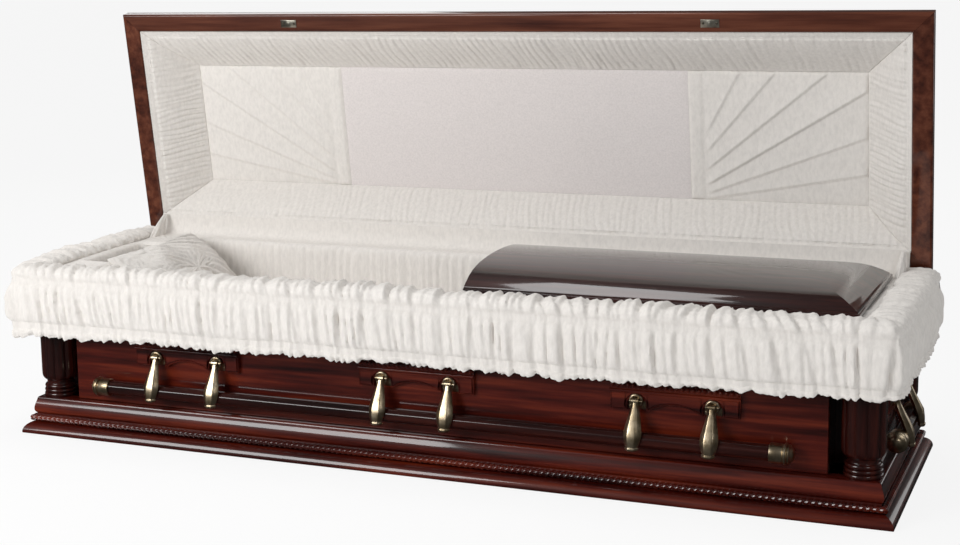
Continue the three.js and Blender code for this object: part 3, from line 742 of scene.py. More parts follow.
def build_skirt():
    even, path = skirt_path()
    section = flowing(SKIRT_SECTION, SKIRT_ROWS)
    tangent = np.gradient(section, axis=0)
    tangent /= np.linalg.norm(tangent, axis=1)[:, None]
    normal = np.column_stack([-tangent[:, 1], tangent[:, 0]])
    if normal[SKIRT_ROWS // 2, 0] < 0:
        normal = -normal
    share = np.linspace(0, 1, SKIRT_ROWS)
    s, t = even[:, None], share[None, :]
    relief = skirt_relief(s, t) * np.clip(share / 0.12, 0, 1)
    edge = 4.0 * drift(s / 0.055, 0, 81) + 3.0 * drift(s / 0.017, 0, 82) + HEM_SLOPE * path[:, :1] / MM
    outward = section[:, 0] + relief * normal[:, 0]
    z = section[:, 1] + relief * normal[:, 1] + np.clip((t - 0.8) / 0.2, 0, 1) * edge
    x, y = (outward * MM * path[:, k + 2:k + 3] + path[:, k:k + 1] for k in range(2))
    inward = np.column_stack([-path[:, 2], -path[:, 3], np.zeros(len(path))])
    return shell(np.stack([x, y, z * MM], -1), CLOTH_THICKNESS, inward), even[-1]


skirt_rings, skirt_length = build_skirt()
skirt = make("overlay_skirt_cloth", [skin(skirt_rings)], CREPE, stands_for=["overlay_skirt"], smooth=80)
print("skirt", round(skirt_length, 2), "m long,", len(skirt.data.polygons), "faces")

# %% [markdown]
# Inside, the walls are padded and covered in the same crepe, gathered over a double seam near the
# top. The cloth follows the walls and the inner corner posts, so its path is that outline with the
# corners eased.

# %% Interior lining
bed_low, bed_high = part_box("mattress")
BED_TOP = bed_high.z
INNER = [(0.9685, 0.1305), (0.8755, 0.2235)]  # two rectangles, laid over each other, that bound the inside


def notched(grow=0.0):
    (x1, y1), (x2, y2) = INNER
    quarter = [(x2 + grow, -(y2 + grow)), (x2 + grow, -(y1 + grow)), (x1 + grow, -(y1 + grow))]
    outline = []
    for sx, sy, order in ((1, 1, 1), (1, -1, -1), (-1, -1, 1), (-1, 1, -1)):
        outline += [(sx * x, sy * y) for x, y in quarter[::order]]
    return outline


def even_loop(outline, step):
    """Evenly spaced points round a closed outline, with their outward directions and lengths."""
    outline = np.asarray(outline)
    closed = np.vstack([outline, outline[:1]])
    gaps = np.linalg.norm(np.diff(closed, axis=0), axis=1)
    travelled = np.concatenate([[0], np.cumsum(gaps)])
    even = np.linspace(0, travelled[-1], int(travelled[-1] / step), endpoint=False)
    points = np.column_stack([np.interp(even, travelled, closed[:, k]) for k in range(2)])
    tangent = np.roll(points, -1, 0) - np.roll(points, 1, 0)
    tangent /= np.linalg.norm(tangent, axis=1)[:, None]
    return points, np.column_stack([tangent[:, 1], -tangent[:, 0]]), even


LINING_SECTION = [
    (31, 405), (31, 411), (25, 415.5), (14, 416.5), (5, 413), (0, 403), (-2, 385), (-2, 350), (-2, 300),
    (-1, 262), (1, 240), (4, 228),
]
LINING_BACK = [(12, 200), (26, 200), (26, 300)]
LINING_ROWS, LINING_STEP, LINING_CORNER = 42, 4.3 * MM, 14 * MM
LINING_HEADING = (0.27, 0.31)  # the double seam under the gathered heading, as shares of the depth
loop, outward, even = even_loop(rounded(notched(), LINING_CORNER, 4), LINING_STEP)
section = flowing(LINING_SECTION, LINING_ROWS)
share = np.linspace(0, 1, LINING_ROWS)[None, :]
along = even[:, None]
seams = sum(near(share, row, 0.013) for row in LINING_HEADING)
heading = np.clip((LINING_HEADING[0] - share) / 0.03, 0, 1)
shirring = folds(along, share * 2, 0.0085, 0.0, 6, 0.35, 0.4)
gather = folds(along, share, 0.025, 0.3, 5, 0.16, 0.7) + 0.4 * folds(along, share, 0.011, 0.1, 8, 0.3, 0.6)
free = (1 - heading) * (1 - 0.8 * np.clip(seams, 0, 1))
ripple = 2.6 * shirring * (heading + 0.6 * seams) + 4.6 * gather * free
ripple += 2.0 * drift(along / 0.12, share * 2, 7) - 3.0 - 1.5 * seams
offset = (section[:, 0] - ripple) * MM
face = np.stack([loop[:, :1] + offset * outward[:, :1], loop[:, 1:] + offset * outward[:, 1:],
                 np.repeat(section[None, :, 1] * MM, len(loop), 0)], -1)
back = np.stack([at_height(loop + reach * MM * outward, z * MM) for reach, z in LINING_BACK], 1)
lining = make("interior_cloth", [skin(np.concatenate([face, back], 1), closed=True)], CREPE,
              stands_for=["interior_lining"], smooth=80)

# %% [markdown]
# The bed is a sprung pad under a fitted cover. Only its top shows, so a grid of cells over the
# inside outline is enough: the top swells from its seamed edge to the middle and has a row of
# shallow channels across it, and the underside stays flat.

# %% Mattress
def slab(x, y, top, bottom, keep=None):
    """A closed slab over a grid: top and bottom are heights at its points, keep marks cells in use."""
    across, along = len(x), len(y)
    grid_x, grid_y = np.meshgrid(x, y, indexing="ij")
    count = across * along
    upper = np.stack([grid_x, grid_y, top], -1).reshape(-1, 3)
    lower = np.stack([grid_x, grid_y, bottom], -1).reshape(-1, 3)
    index = np.arange(count).reshape(across, along)
    cells = np.stack([index[:-1, :-1], index[1:, :-1], index[1:, 1:], index[:-1, 1:]], -1)
    keep = np.ones(cells.shape[:2], bool) if keep is None else keep
    cells = cells[keep]
    edges = np.concatenate([cells[:, [k, (k + 1) % 4]] for k in range(4)])
    seen = {(a, b) for a, b in edges.tolist()}
    rim = [(a, b) for a, b in seen if (b, a) not in seen]
    faces = cells.tolist() + (cells[:, ::-1] + count).tolist()
    faces += [[b, a, a + count, b + count] for a, b in sorted(rim)]
    used = np.unique(np.array([i for face in faces for i in face]))
    renumber = np.zeros(2 * count, int)
    renumber[used] = np.arange(len(used))
    points = np.vstack([upper, lower])[used]
    return points, [[int(renumber[i]) for i in face] for face in faces]


def grid_lines(limits, step):
    """Coordinates that pass through every limit, about a step apart."""
    pieces = []
    for a, b in zip(limits, limits[1:]):
        pieces.append(np.linspace(a, b, max(2, int((b - a) / step)), endpoint=False))
    return np.concatenate([*pieces, [limits[-1]]])


BED_GAP, BED_STEP = 3 * MM, 11 * MM
(x1, y1), (x2, y2) = [(x - BED_GAP, y - BED_GAP) for x, y in INNER]
xs = grid_lines([-x1, -x2, x2, x1], BED_STEP)
ys = grid_lines([-y2, -y1, y1, y2], BED_STEP)
grid_x, grid_y = np.meshgrid(xs, ys, indexing="ij")
long_edge = np.minimum(x1 - abs(grid_x), y1 - abs(grid_y))
wide_edge = np.minimum(x2 - abs(grid_x), y2 - abs(grid_y))
edge = np.maximum(long_edge, wide_edge)
roll_over = np.clip(edge / 0.03, 0, 1)
crown = -0.020 * (1 - np.sqrt(roll_over * (2 - roll_over))) - 0.004
channel = 0.004 * near(np.mod(grid_x + 0.06, 0.12), 0.06, 0.012) * roll_over
crease = 0.0016 * drift(grid_x / 0.05, grid_y / 0.05, 91)
top = BED_TOP + crown - channel + crease
middle_x, middle_y = (xs[1:] + xs[:-1]) / 2, (ys[1:] + ys[:-1]) / 2
mx, my = np.meshgrid(abs(middle_x), abs(middle_y), indexing="ij")
inside = ((mx < x1) & (my < y1)) | ((mx < x2) & (my < y2))
bed = make("mattress_pad", [slab(xs, ys, top, np.full_like(top, bed_low.z + 0.08), inside)], CREPE,
           stands_for=["mattress"], smooth=60)

# %% [markdown]
# The pillow leans against the head wall. Its cover is pleated: narrow folds fan from one corner
# across its face. It starts as two crowned sheets that meet at a seam, and the sides pull in between
# the corners as they do on any stuffed cover.

# %% Pillow
PILLOW_WIDTH, PILLOW_DEPTH, PILLOW_FAT = 0.41, 0.275, 0.125


def build_pillow():
    around, rows = 168, 44
    angle = circle(around)
    square = np.maximum(np.abs(np.cos(angle)), np.abs(np.sin(angle)))
    u, v = np.cos(angle) / square, np.sin(angle) / square
    rings = []
    for side in np.linspace(-1, 1, 2 * rows + 1):
        out = np.sin(math.pi / 2 * (1 - abs(side)) ** 0.62)
        out = max(out, 0.012)
        uu, vv = u * out, v * out
        pull = 1 - 0.10 * (1 - np.abs(u * v)) * out ** 4
        height = np.clip((1 - np.abs(uu) ** 2.4) * (1 - np.abs(vv) ** 2.4), 0, 1) ** 0.5
        x, y = vv * pull * PILLOW_DEPTH / 2, uu * pull * PILLOW_WIDTH / 2
        sign = 1.0 if side >= 0 else -1.0
        fan = np.arctan2(x + PILLOW_DEPTH * 0.75, y + PILLOW_WIDTH * 0.62)
        pleat = folds(fan * 0.5, np.hypot(x, y) * 2, 0.030, 0.15, 13, 0.14, 0.5)
        small = folds(fan * 0.5, np.hypot(x, y) * 3, 0.011, 0.2, 15, 0.3, 0.6)
        soft = 0.007 * drift(x / 0.05, y / 0.05, 17)
        cover = 0.0105 * pleat + 0.0025 * small + soft - 0.006
        lift = sign * height * PILLOW_FAT / 2 + (sign > 0) * cover * np.minimum(1, height * 2.5)
        rings.append(np.column_stack([x, y, lift]))
    return np.array(rings)


PILLOW_HEAD = -0.869  # it leans on the posts of the head wall
PILLOW_TILT = 44
tilt = math.radians(PILLOW_TILT)
rings = build_pillow()
x, z = rings[..., 0].copy(), rings[..., 2].copy()
rings[..., 0] = x * math.cos(tilt) + z * math.sin(tilt)
rings[..., 2] = -x * math.sin(tilt) + z * math.cos(tilt)
rings[..., 0] += PILLOW_HEAD - rings[..., 0].min()
rings[..., 2] += BED_TOP + 0.002 - rings[..., 2].min()
pillow = make("pillow_cover", [skin(rings)], CREPE, stands_for=["pillow"], smooth=80)
print("pillow top", round(float(rings[..., 2].max()), 3))

# %% [markdown]
# The lid is lined with four padded rolls that lean from its rails up to a flat field. They are
# gathered across their length, so the folds run from rail to field and are cut off at the mitres. A
# double row of stitches beside the rail pulls them tight.

# %% Lid rolls
ROLL_REACH = {"front": 118, "foot": 112, "back": 76, "head": 112}
ROLL_SHARE = [
    (0.006, 4), (0.06, 9), (0.13, 14), (0.22, 22), (0.38, 40), (0.56, 62), (0.73, 82), (0.88, 98),
    (0.997, 107.5),
]
ROLL_BACK = [(0.997, 117), (0.61, 115), (0.40, 107), (0.21, 97), (0.05, 83), (0.006, 60)]
RAIL_WIDTH = 46 * MM
ROLL_ROWS, ROLL_STEP = 40, 2.5 * MM
ROLL_GATHER = {"front": (0.0185, -1.6), "foot": (0.0135, 0.7), "back": (0.0175, 1.1), "head": (0.0135, 0.7)}


def roll_stations(side):
    """Outer and inner ends of one roll in plan, before the lid opens."""
    half_x, half_y = RIM_X - RAIL_WIDTH, RIM_Y - RAIL_WIDTH
    corners = ring_corners(half_x, half_y, *(ROLL_REACH[k] * MM for k in ("front", "back", "head")))
    return side_of(corners, side)


def build_roll(side, seed):
    start, end = roll_stations(side)
    face = flowing(ROLL_SHARE, ROLL_ROWS)
    back = np.array(ROLL_BACK)
    length = np.linalg.norm((end - start)[:2])
    count = int(length / ROLL_STEP)
    across = np.linspace(0, 1, count)[:, None]
    inset = np.concatenate([face[:, 0], back[:, 0]])[None, :]
    height = np.concatenate([face[:, 1], back[:, 1]])[None, :]
    x0, y0 = start[0] + inset * start[2], start[1] + inset * start[3]
    x1, y1 = end[0] + inset * end[2], end[1] + inset * end[3]
    x, y = x0 + (x1 - x0) * across, y0 + (y1 - y0) * across
    along = x if GRAIN[side] == 0 else y
    share = np.clip(inset, 0, 1)
    period, lean = ROLL_GATHER[side]
    gather = folds(along, share, period, lean, seed, 0.2, 0.45)
    deep = folds(along, share, period * 2.7, lean * 0.5, seed + 6, 0.12, 0.7)
    fine = folds(along, share * 2, 0.0078, 0.1, seed + 9, 0.35, 0.3)
    seams = near(share, 0.115, 0.014) + near(share, 0.15, 0.014)
    heading = np.clip((0.125 - share) / 0.03, 0, 1)
    beyond = (1 - heading) * (1 - 0.8 * np.clip(seams, 0, 1)) * np.clip((1.0 - share) / 0.05, 0.3, 1)
    uneven = 1.8 * drift(along / 0.09, share * 2, seed + 4)
    relief = beyond * (4.8 * gather + 3.2 * deep + 0.8 * fine - 3.6 + uneven)
    relief += (2.0 * fine - 1.0) * np.clip(heading + 0.5 * seams, 0, 1) - 2.2 * seams
    padded = 9.0 * np.sin(math.pi * np.clip(share, 0, 1) ** 1.35) ** 0.9
    front = np.arange(inset.shape[1]) < ROLL_ROWS
    lowered = np.where(front, height - (relief + padded) * 0.8, height)
    z = (LID_BASE + np.maximum(lowered, 1.0)) * MM
    return skin(np.stack([x, y, z], -1))


for seed, side in enumerate(SIDES):
    roll = make(f"roll_{side}", [opened(build_roll(side, 100 + 20 * seed))], LID_CREPE, "lid",
                [f"lid_lining_roll_{side}"], smooth=80)

# %% [markdown]
# The field between the rolls has a plain panel in the middle and a fan at each end. A fan has six
# straight tucks. They start along the strip on its inner side and spread towards the far corner,
# like the rays of a low sun. A tuck rises slowly and drops back sharply along its line.

# %% Lid field
STRIP_WIDTH = 36 * MM
FAN_TUCKS = [  # height at the strip, how far out and up it ends, as shares of the panel, and its depth
    (0.010, 1.0, 0.24, 4.5), (0.050, 1.0, 0.52, 4.8), (0.115, 1.0, 0.87, 6.5), (0.23, 0.765, 1.0, 5.2),
    (0.36, 0.45, 1.0, 4.5), (0.49, 0.23, 1.0, 4.0),
]
TUCK_DROP, TUCK_FADE = 3.5 * MM, 20 * MM
FIELD_LOW = LID_BASE * MM + 0.108
cap_plan = {}
for name in ("center", "head", "foot"):
    part = np.array([v.co for v in frame["nodes"][f"lid_cap_{name}"].data.vertices])
    cap_plan[name] = (part[:, 0].min(), part[:, 0].max())
FIELD_FRONT = -(RIM_Y - RAIL_WIDTH) + ROLL_REACH["front"] * MM
FIELD_BACK = RIM_Y - RAIL_WIDTH - ROLL_REACH["back"] * MM


def field_panel(x0, x1, step, relief):
    """A panel of the field: relief gives how far it stands towards the room, in millimetres."""
    xs, ys = grid_lines([x0, x1], step), grid_lines([FIELD_FRONT, FIELD_BACK], step)
    grid_x, grid_y = np.meshgrid(xs, ys, indexing="ij")
    edge = np.minimum(grid_x - x0, x1 - grid_x)
    edge = np.minimum(edge, np.minimum(grid_y - FIELD_FRONT, FIELD_BACK - grid_y))
    raised = relief(grid_x, grid_y) * np.clip(edge / 0.006, 0, 1)
    lower = FIELD_LOW - raised * MM
    return slab(xs, ys, np.full_like(lower, FIELD_LOW + 0.006), lower)


def plain_relief(x, y):
    return 1.5 + 0.9 * drift(x / 0.16, y / 0.12, 201) + 0.25 * drift(x / 0.03, y / 0.03, 202)


def fan_relief(inner_x, outer_x):
    """Relief of a fan: its tucks start along the strip on its inner side and spread outwards."""
    width, height = abs(outer_x - inner_x) - STRIP_WIDTH, FIELD_BACK - FIELD_FRONT

    def relief(x, y):
        out = (x - inner_x) * math.copysign(1, outer_x - inner_x) - STRIP_WIDTH
        up = FIELD_BACK - y
        fan = 1.5 + 0.7 * drift(x / 0.05, y / 0.05, 216)
        for start, end_out, end_up, depth in FAN_TUCKS:
            run, rise = end_out * width, (end_up - start) * height
            above = ((up - start * height) * run - out * rise) / math.hypot(run, rise)
            slow = np.exp(-np.maximum(above, 0) / TUCK_FADE)
            sharp = np.clip(1 + np.minimum(above, 0) / TUCK_DROP, 0, 1)
            fan = fan + depth * slow * sharp * np.clip(out / 0.02, 0, 1)
        seam = near(out, -STRIP_WIDTH, 3 * MM) + near(out, 0, 3 * MM)
        return np.where(out < 0, 4.0 - 3.0 * seam, fan)
    return relief


low_x, high_x = cap_plan["center"]
plain = field_panel(low_x, high_x, 9 * MM, plain_relief)
piece = make("field_center", [opened(plain)], PLAIN_CREPE, "lid", ["lid_cap_center"], smooth=60)
for end in ("head", "foot"):
    near_x, far_x = sorted(cap_plan[end], key=abs)
    fan = field_panel(*sorted((near_x, far_x)), 3.7 * MM, fan_relief(near_x, far_x))
    piece = make(f"field_fan_{end}", [opened(fan)], LID_CREPE, "lid", [f"lid_cap_{end}"], smooth=60)

# %% [markdown]
# A strip of the same cloth hides the hinge joint: it is sewn to the lining on one side and to the
# lid's back roll on the other, and on the real casket it bends when the lid shuts. It belongs half to
# the casket and half to the lid; here it rides on neither and keeps its open shape. Small pads of
# cloth cover the four corner blocks.

# %% Hinge cloth
APRON = [
    (249, 412.2), (262, 412.4), (276, 412.9), (288, 415.5), (296, 422), (300, 432), (302.5, 444),
    (303.5, 457), (304, 468),
]
APRON_HALF, APRON_ROWS = 1.003, 22
apron_xs = grid_lines([-APRON_HALF, APRON_HALF], 5 * MM)[:, None]
curve = flowing(APRON, APRON_ROWS)
share = np.linspace(0, 1, APRON_ROWS)[None, :]
loose = np.sin(math.pi * np.clip(share * 0.9 + 0.05, 0, 1))
ruffle = 2.6 * folds(apron_xs, share, 0.016, 0.3, 301, 0.25, 0.6) * loose
apron_y = (curve[None, :, 0] - ruffle * 0.5) * MM
apron_z = (curve[None, :, 1] + ruffle * 0.6) * MM
front_face = np.stack([np.broadcast_to(apron_xs, apron_y.shape), apron_y, apron_z], -1)
back_face = front_face[:, ::-1] + np.array([0, 0.0009, -0.0009])
apron = skin(np.concatenate([front_face, back_face], 1))
apron = make("hinge_cloth", [apron], LID_CREPE, body=None, smooth=80)
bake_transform(apron)

CORNER_INNER, CORNER_OUTER = (0.876, 0.131), (1.002, 0.262)  # the block over an inner corner post
PAD_LOW, PAD_TOP, PAD_CELLS = 0.4095, 0.4105, 42
for end, sx in (("head", -1), ("foot", 1)):
    for side, sy in (("front", -1), ("back", 1)):
        xs = np.linspace(*sorted((sx * CORNER_INNER[0], sx * CORNER_OUTER[0])), PAD_CELLS)
        ys = np.linspace(*sorted((sy * CORNER_INNER[1], sy * CORNER_OUTER[1])), PAD_CELLS)
        grid_x, grid_y = np.meshgrid(xs, ys, indexing="ij")
        edge = np.minimum(abs(grid_x) - CORNER_INNER[0], abs(grid_y) - CORNER_INNER[1])
        edge = np.minimum(edge, np.minimum(CORNER_OUTER[0] - abs(grid_x), CORNER_OUTER[1] - abs(grid_y)))
        spread = np.arctan2(abs(grid_y) - CORNER_INNER[1] + 0.02, abs(grid_x) - CORNER_INNER[0] + 0.02)
        crumple = 2.4 * folds(spread * 0.09, edge * 4, 0.012, 0.3, 311 + sx + 2 * sy, 0.25, 0.6)
        top = PAD_TOP + (3.6 + crumple) * MM * np.clip(edge / 0.012, 0, 1) ** 0.5
        pad = slab(xs, ys, top, np.full_like(top, PAD_LOW))
        pad = make(f"corner_cloth_{side}_{end}", [pad], CREPE, smooth=80)

# %% [markdown]
# A gusset of loose cloth hangs between the rim and the lid at each back corner, over the stay that
# holds the lid. It is a small tent of folds, widest at the rim. On the real casket it folds flat when
# the lid shuts and presses the roll of the skirt down a little; here both keep their open shape.

# %% Gussets
def gusset(sign):
    low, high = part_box("stay_gusset_head" if sign < 0 else "stay_gusset_foot")
    middle = (low.x + high.x) / 2
    rings = []
    for share in np.linspace(0, 1, 40):
        half = (high.y - low.y) / 2 * (1 - share ** 1.4) + 0.004
        centre = high.y - half - 0.012 * (1 - share)
        z = low.z + share * (high.z - low.z)
        angle = circle(72)
        fold = 0.5 * np.sin(7 * angle + 3 * share) + 0.3 * np.sin(13 * angle - 2 * share)
        fold += 0.2 * np.sin(23 * angle)
        fat = 0.0095 * (1 - 0.6 * share) * (1 + 0.6 * fold)
        plan = np.column_stack([middle + fat * np.cos(angle), centre + half * np.sin(angle)])
        rings.append(at_height(plan, z))
    return skin(rings)


for end, sign in (("head", -1), ("foot", 1)):
    piece = make(f"gusset_{end}", [gusset(sign)], CREPE, stands_for=[f"stay_gusset_{end}"], smooth=80)
    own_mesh(piece)
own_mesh(skirt)

# %% [markdown]
# Over the foot half lies a wooden inner panel: a low crowned roof, in the same gloss as the walls but
# darker. A thin moulding steps up its edge before the slope, and the cut edge at the middle shows
# how thick it is. The slope is a curve in the section, so its rings follow one another up the crown.

# %% Foot panel
foot_low, foot_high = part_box("foot_panel")
PANEL_OUTSIDE = [
    (1, 410.4), (0, 412), (0, 423), (1, 425), (3, 426.2), (5.5, 426.6), (6, 427.2), (6, 428.8),
    (7.5, 430.2), (10, 431.4), (20, 438), (40, 449), (62, 457.5), (88, 464), (118, 469), (155, 472.5),
    (190, 474.5), (214, 475),
]
PANEL_INSIDE = [(214, 460), (155, 457.5), (90, 449), (42, 434), (15, 416), (15, 405.4)]
PANEL_WALL = 15 * MM
rings = []
for (inset, z), is_inside in [(p, True) for p in PANEL_INSIDE] + [(p, False) for p in PANEL_OUTSIDE]:
    cut_x = foot_low.x + (PANEL_WALL if is_inside else 0)
    half = foot_high.y - inset * MM
    end_x = foot_high.x - inset * MM
    rings.append(at_height([(cut_x, -half), (end_x, -half), (end_x, half), (cut_x, half)], z * MM))
make("foot_half_panel", [skin(rings)], DARK_WOOD_AND_SHADE[0], stands_for=["foot_panel"], smooth=22)

# %% [markdown]
# Two small striking plates sit on the lid's front rail, for the catches that hold it shut. Each is a
# thin stamped strip with a shallow raised ring in the middle and a screw at each end. The hinges are
# butt hinges, whose knuckles take turns on the body's leaf and the lid's.

# %% Striking plates and hinges
SCREW_DOME = [(0, 1), (0.35, 0.92), (0.5, 0.6), (0.42, 0.12)]
PLATE_HALF, PLATE_THICKNESS, PLATE_INSET = 0.022, 0.0010, 24 * MM
CROWN = [
    (0.0002, 0.0090), (-0.0006, 0.0086), (-0.0012, 0.0068), (-0.0010, 0.0054), (-0.0014, 0.0042),
    (-0.0016, 0.0004),
]


def screw_head(x, y, z, radius, axis, sign=1.0):
    """A shallow domed head with its slot left as a dip. It faces along the axis by its sign."""
    rows = [(sign * h * radius, radius * r) for h, r in SCREW_DOME]
    return moved(lathe(rows, 14, axis), x, y, z)


for end in ("head", "foot"):
    corners = np.array([v.co for v in frame["nodes"][f"strike_plate_{end}"].data.vertices])
    x = (corners[:, 0].min() + corners[:, 0].max()) / 2
    y, top = -RIM_Y + PLATE_INSET, (LID_BASE - 0.3) * MM
    plate_low = (x - PLATE_HALF, y - 0.009, top - PLATE_THICKNESS)
    plate = box_skin(plate_low, (x + PLATE_HALF, y + 0.010, top), 0.4 * MM)
    parts = [plate, moved(lathe(CROWN, 24), x, y, top - 0.0003)]
    screws = [screw_head(x + side * 0.0160, y, top - 0.0001, 0.0033, "z", -1.0) for side in (-1, 1)]
    make(f"striking_plate_{end}", [opened(p) for p in parts], PALE_METAL, "lid", [f"strike_plate_{end}"])
    make(f"striking_screws_{end}", [opened(p) for p in screws], DULL_METAL, "lid")


def hinge_leaf(centre_x, on_lid):
    """A butt hinge leaf with its knuckles, on the back of the rim or of the lid's rail."""
    length, knuckles, radius, screws = 0.120, 5, 4.2 * MM, 3
    face = RIM_Y + 0.3 * MM
    front = face + 2.2 * MM
    far, close = (0.027, 0.0052) if on_lid else (-0.017, -0.0052)
    far, close = HINGE_Z + far, HINGE_Z + close
    start = centre_x - length / 2
    leaf_low, leaf_high = (start, face, min(far, close)), (start + length, front, max(far, close))
    parts = [box_skin(leaf_low, leaf_high, 0.6 * MM)]
    for k in range(1 if on_lid else 0, knuckles, 2):
        x0 = start + k * length / knuckles + MITRE_GAP
        x1 = start + (k + 1) * length / knuckles - MITRE_GAP
        barrel = [(x0, radius * 0.8), (x0 + 0.0006, radius), (x1 - 0.0006, radius), (x1, radius * 0.8)]
        parts.append(moved(lathe(barrel, 20, "x"), 0, HINGE_Y, HINGE_Z))
        web = sorted((close + (0.001 if on_lid else -0.001), HINGE_Z))
        parts.append(box_skin((x0, face, web[0]), (x1, front, web[1]), 0.3 * MM))
    for k in range(screws):
        x = start + length * (k + 0.5) / screws
        parts.append(screw_head(x, front, (far + close) / 2, 3.2 * MM, "y"))
    return parts


for end in ("head", "foot"):
    low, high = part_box(f"hinge_body_leaf_{end}")
    centre_x = (low.x + high.x) / 2
    body_leaf = hinge_leaf(centre_x, False)
    make(f"hinge_leaf_body_{end}", body_leaf, BRASS, stands_for=[f"hinge_body_leaf_{end}"])
    lid_leaf = [opened(part) for part in hinge_leaf(centre_x, True)]
    make(f"hinge_leaf_lid_{end}", lid_leaf, BRASS, "lid", [f"hinge_lid_leaf_{end}"])

# %% [markdown]
# Each handle hangs from carved plaques. A plaque is a board with its lower edge cut to an arch
# between two notches for the lugs, a stepped edge that catches the light, and a row of pearls over
# a fillet along its top. All four walls use the same drawing, turned to face out.

# %% Plaques
WALL_TURN = {"front": 0.0, "foot": math.pi / 2, "back": math.pi, "head": -math.pi / 2}
WALL_OUT = {
    "front": -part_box("panel_front")[0].y, "back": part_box("panel_back")[1].y,
    "head": -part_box("panel_head")[0].x, "foot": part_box("panel_foot")[1].x,
}
PLAQUE_HALF, PLAQUE_LOW, PLAQUE_HEIGHT = 142, 194, 64
PLAQUE_STEPS = [(0, 0.3), (0, 7.6), (1.2, 9.2), (3.2, 9.4), (4.0, 8.2), (5.2, 8.2), (6.4, 12)]
LUG_OFFSET, CUTOUT, CUTOUT_RISE, ARCH_HALF, ARCH_RISE = 83, 21, 11, 56, 17


def on_wall(part, side, along=0.0):
    """Moves a part drawn against a wall at y = 0, facing -Y, to one of the four walls."""
    points = np.array(part[0], float) + np.array([along, 0, 0])
    angle = WALL_TURN[side]
    out = points[:, 1] - WALL_OUT[side]
    x = points[:, 0] * math.cos(angle) - out * math.sin(angle)
    y = points[:, 0] * math.sin(angle) + out * math.cos(angle)
    return np.column_stack([x, y, points[:, 2]]), part[1]


def plaque_outline():
    """The board's outline in millimetres, x and height, with round notches and a low arch."""
    outline = [(-PLAQUE_HALF, 0)]

    def notch(x):
        outline.append((x - CUTOUT, 0))
        for angle in np.linspace(math.pi, 0, 9):
            outline.append((x + CUTOUT * math.cos(angle), CUTOUT_RISE + CUTOUT * math.sin(angle)))
        outline.append((x + CUTOUT, 0))

    notch(-LUG_OFFSET)
    for x in np.linspace(-ARCH_HALF, ARCH_HALF, 13):
        outline.append((x, ARCH_RISE * max(0.0, math.cos(x / ARCH_HALF * math.pi / 2)) ** 0.8))
    notch(LUG_OFFSET)
    outline.append((PLAQUE_HALF, 0))
    apart = 0.01  # keeps two points over a notch's upright side from falling together
    outline += [(x - apart * k, PLAQUE_HEIGHT) for k, (x, _) in enumerate(outline[::-1])]
    return np.array(outline, float)


def drawn_in(outline, amount):
    """The outline moved inwards, which means up from the lower edge and in from the ends."""
    on, back = np.roll(outline, -1, 0) - outline, outline - np.roll(outline, 1, 0)
    on /= np.linalg.norm(on, axis=1)[:, None]
    back /= np.linalg.norm(back, axis=1)[:, None]
    normal = np.column_stack([-(on + back)[:, 1], (on + back)[:, 0]])
    normal /= np.maximum(np.linalg.norm(normal, axis=1)[:, None], 0.7)
    return outline + normal * amount


def plaque_board():
    outline = plaque_outline()
    rings = []
    for inset, depth in PLAQUE_STEPS:
        edge = drawn_in(outline, inset)
        face = np.column_stack([edge[:, 0], np.full(len(edge), -depth), PLAQUE_LOW + edge[:, 1]])
        rings.append(face * MM)
    points, faces = skin(rings)
    faces = faces[:-2]  # the two ends are closed by strips instead, from the lower edge to the top
    count = len(outline)
    for first in (0, (len(rings) - 1) * count):
        last = first + count - 1
        faces += [[first + i, first + i + 1, last - 1 - i, last - i] for i in range(count // 2 - 1)]
    return points, faces


PEARL_PITCH, PEARL_HALF, PEARL_RADIUS = 11.8, 5.2, 6.3
PEARL_PLACE = {"y": -10.8 * MM, "z": (PLAQUE_LOW + 54.6) * MM}
FILLET = [
    (-1, 38.5), (-14, 38.5), (-16, 40.5), (-16, 44.5), (-12.5, 46), (-10.5, 47.5), (-10.5, 62), (-1, 63),
]


def pearl_row():
    """A fillet with a row of pearls and thin collars between them."""
    outline = rounded(FILLET, 0.8, 2)
    half = PLAQUE_HALF + 1
    strip = np.array([[(x, y, PLAQUE_LOW + z) for y, z in outline] for x in (-half, half)]) * MM
    parts = [skin(strip)]
    pearls = round(2 * PLAQUE_HALF / PEARL_PITCH)
    for k in range(pearls):
        x = (k + 0.5 - pearls / 2) * 2 * PLAQUE_HALF / pearls
        angle = np.linspace(0.12, math.pi - 0.12, 9)
        profile = np.column_stack([x - PEARL_HALF * np.cos(angle), PEARL_RADIUS * np.sin(angle)]) * MM
        parts.append(moved(lathe(profile, 14, "x"), **PEARL_PLACE))
        if k:
            edge = x - PLAQUE_HALF / pearls
            collar = [(edge - 0.7, 2.2), (edge - 0.6, 3.2), (edge + 0.6, 3.2), (edge + 0.7, 2.2)]
            parts.append(moved(lathe(np.array(collar) * MM, 12, "x"), **PEARL_PLACE))
    return parts


LONG_PLACES, END_PLACE = {"_1": -0.6, "_2": 0.0, "_3": 0.6}, {"": 0.0}
HANDLE_PLACES = {"front": LONG_PLACES, "back": LONG_PLACES, "head": END_PLACE, "foot": END_PLACE}
plaque_parts = [plaque_board(), *pearl_row()]
for side, places in HANDLE_PLACES.items():
    for tag, along in places.items():
        parts = [on_wall(part, side, along) for part in plaque_parts]
        make(f"plaque_{side}{tag}", parts, WOOD[GRAIN[side]], stands_for=[f"handle_plaque_{side}{tag}"])

# %% [markdown]
# The metal of a handle is cast in three shapes: a lug like a small horseshoe on the wall, a faceted
# arm that swings in it, and a ribbed cap on each end of the bar. Lofting a few sections gives the
# arm its swelling, and the flats stay crisp because the corners are rounded only a little.

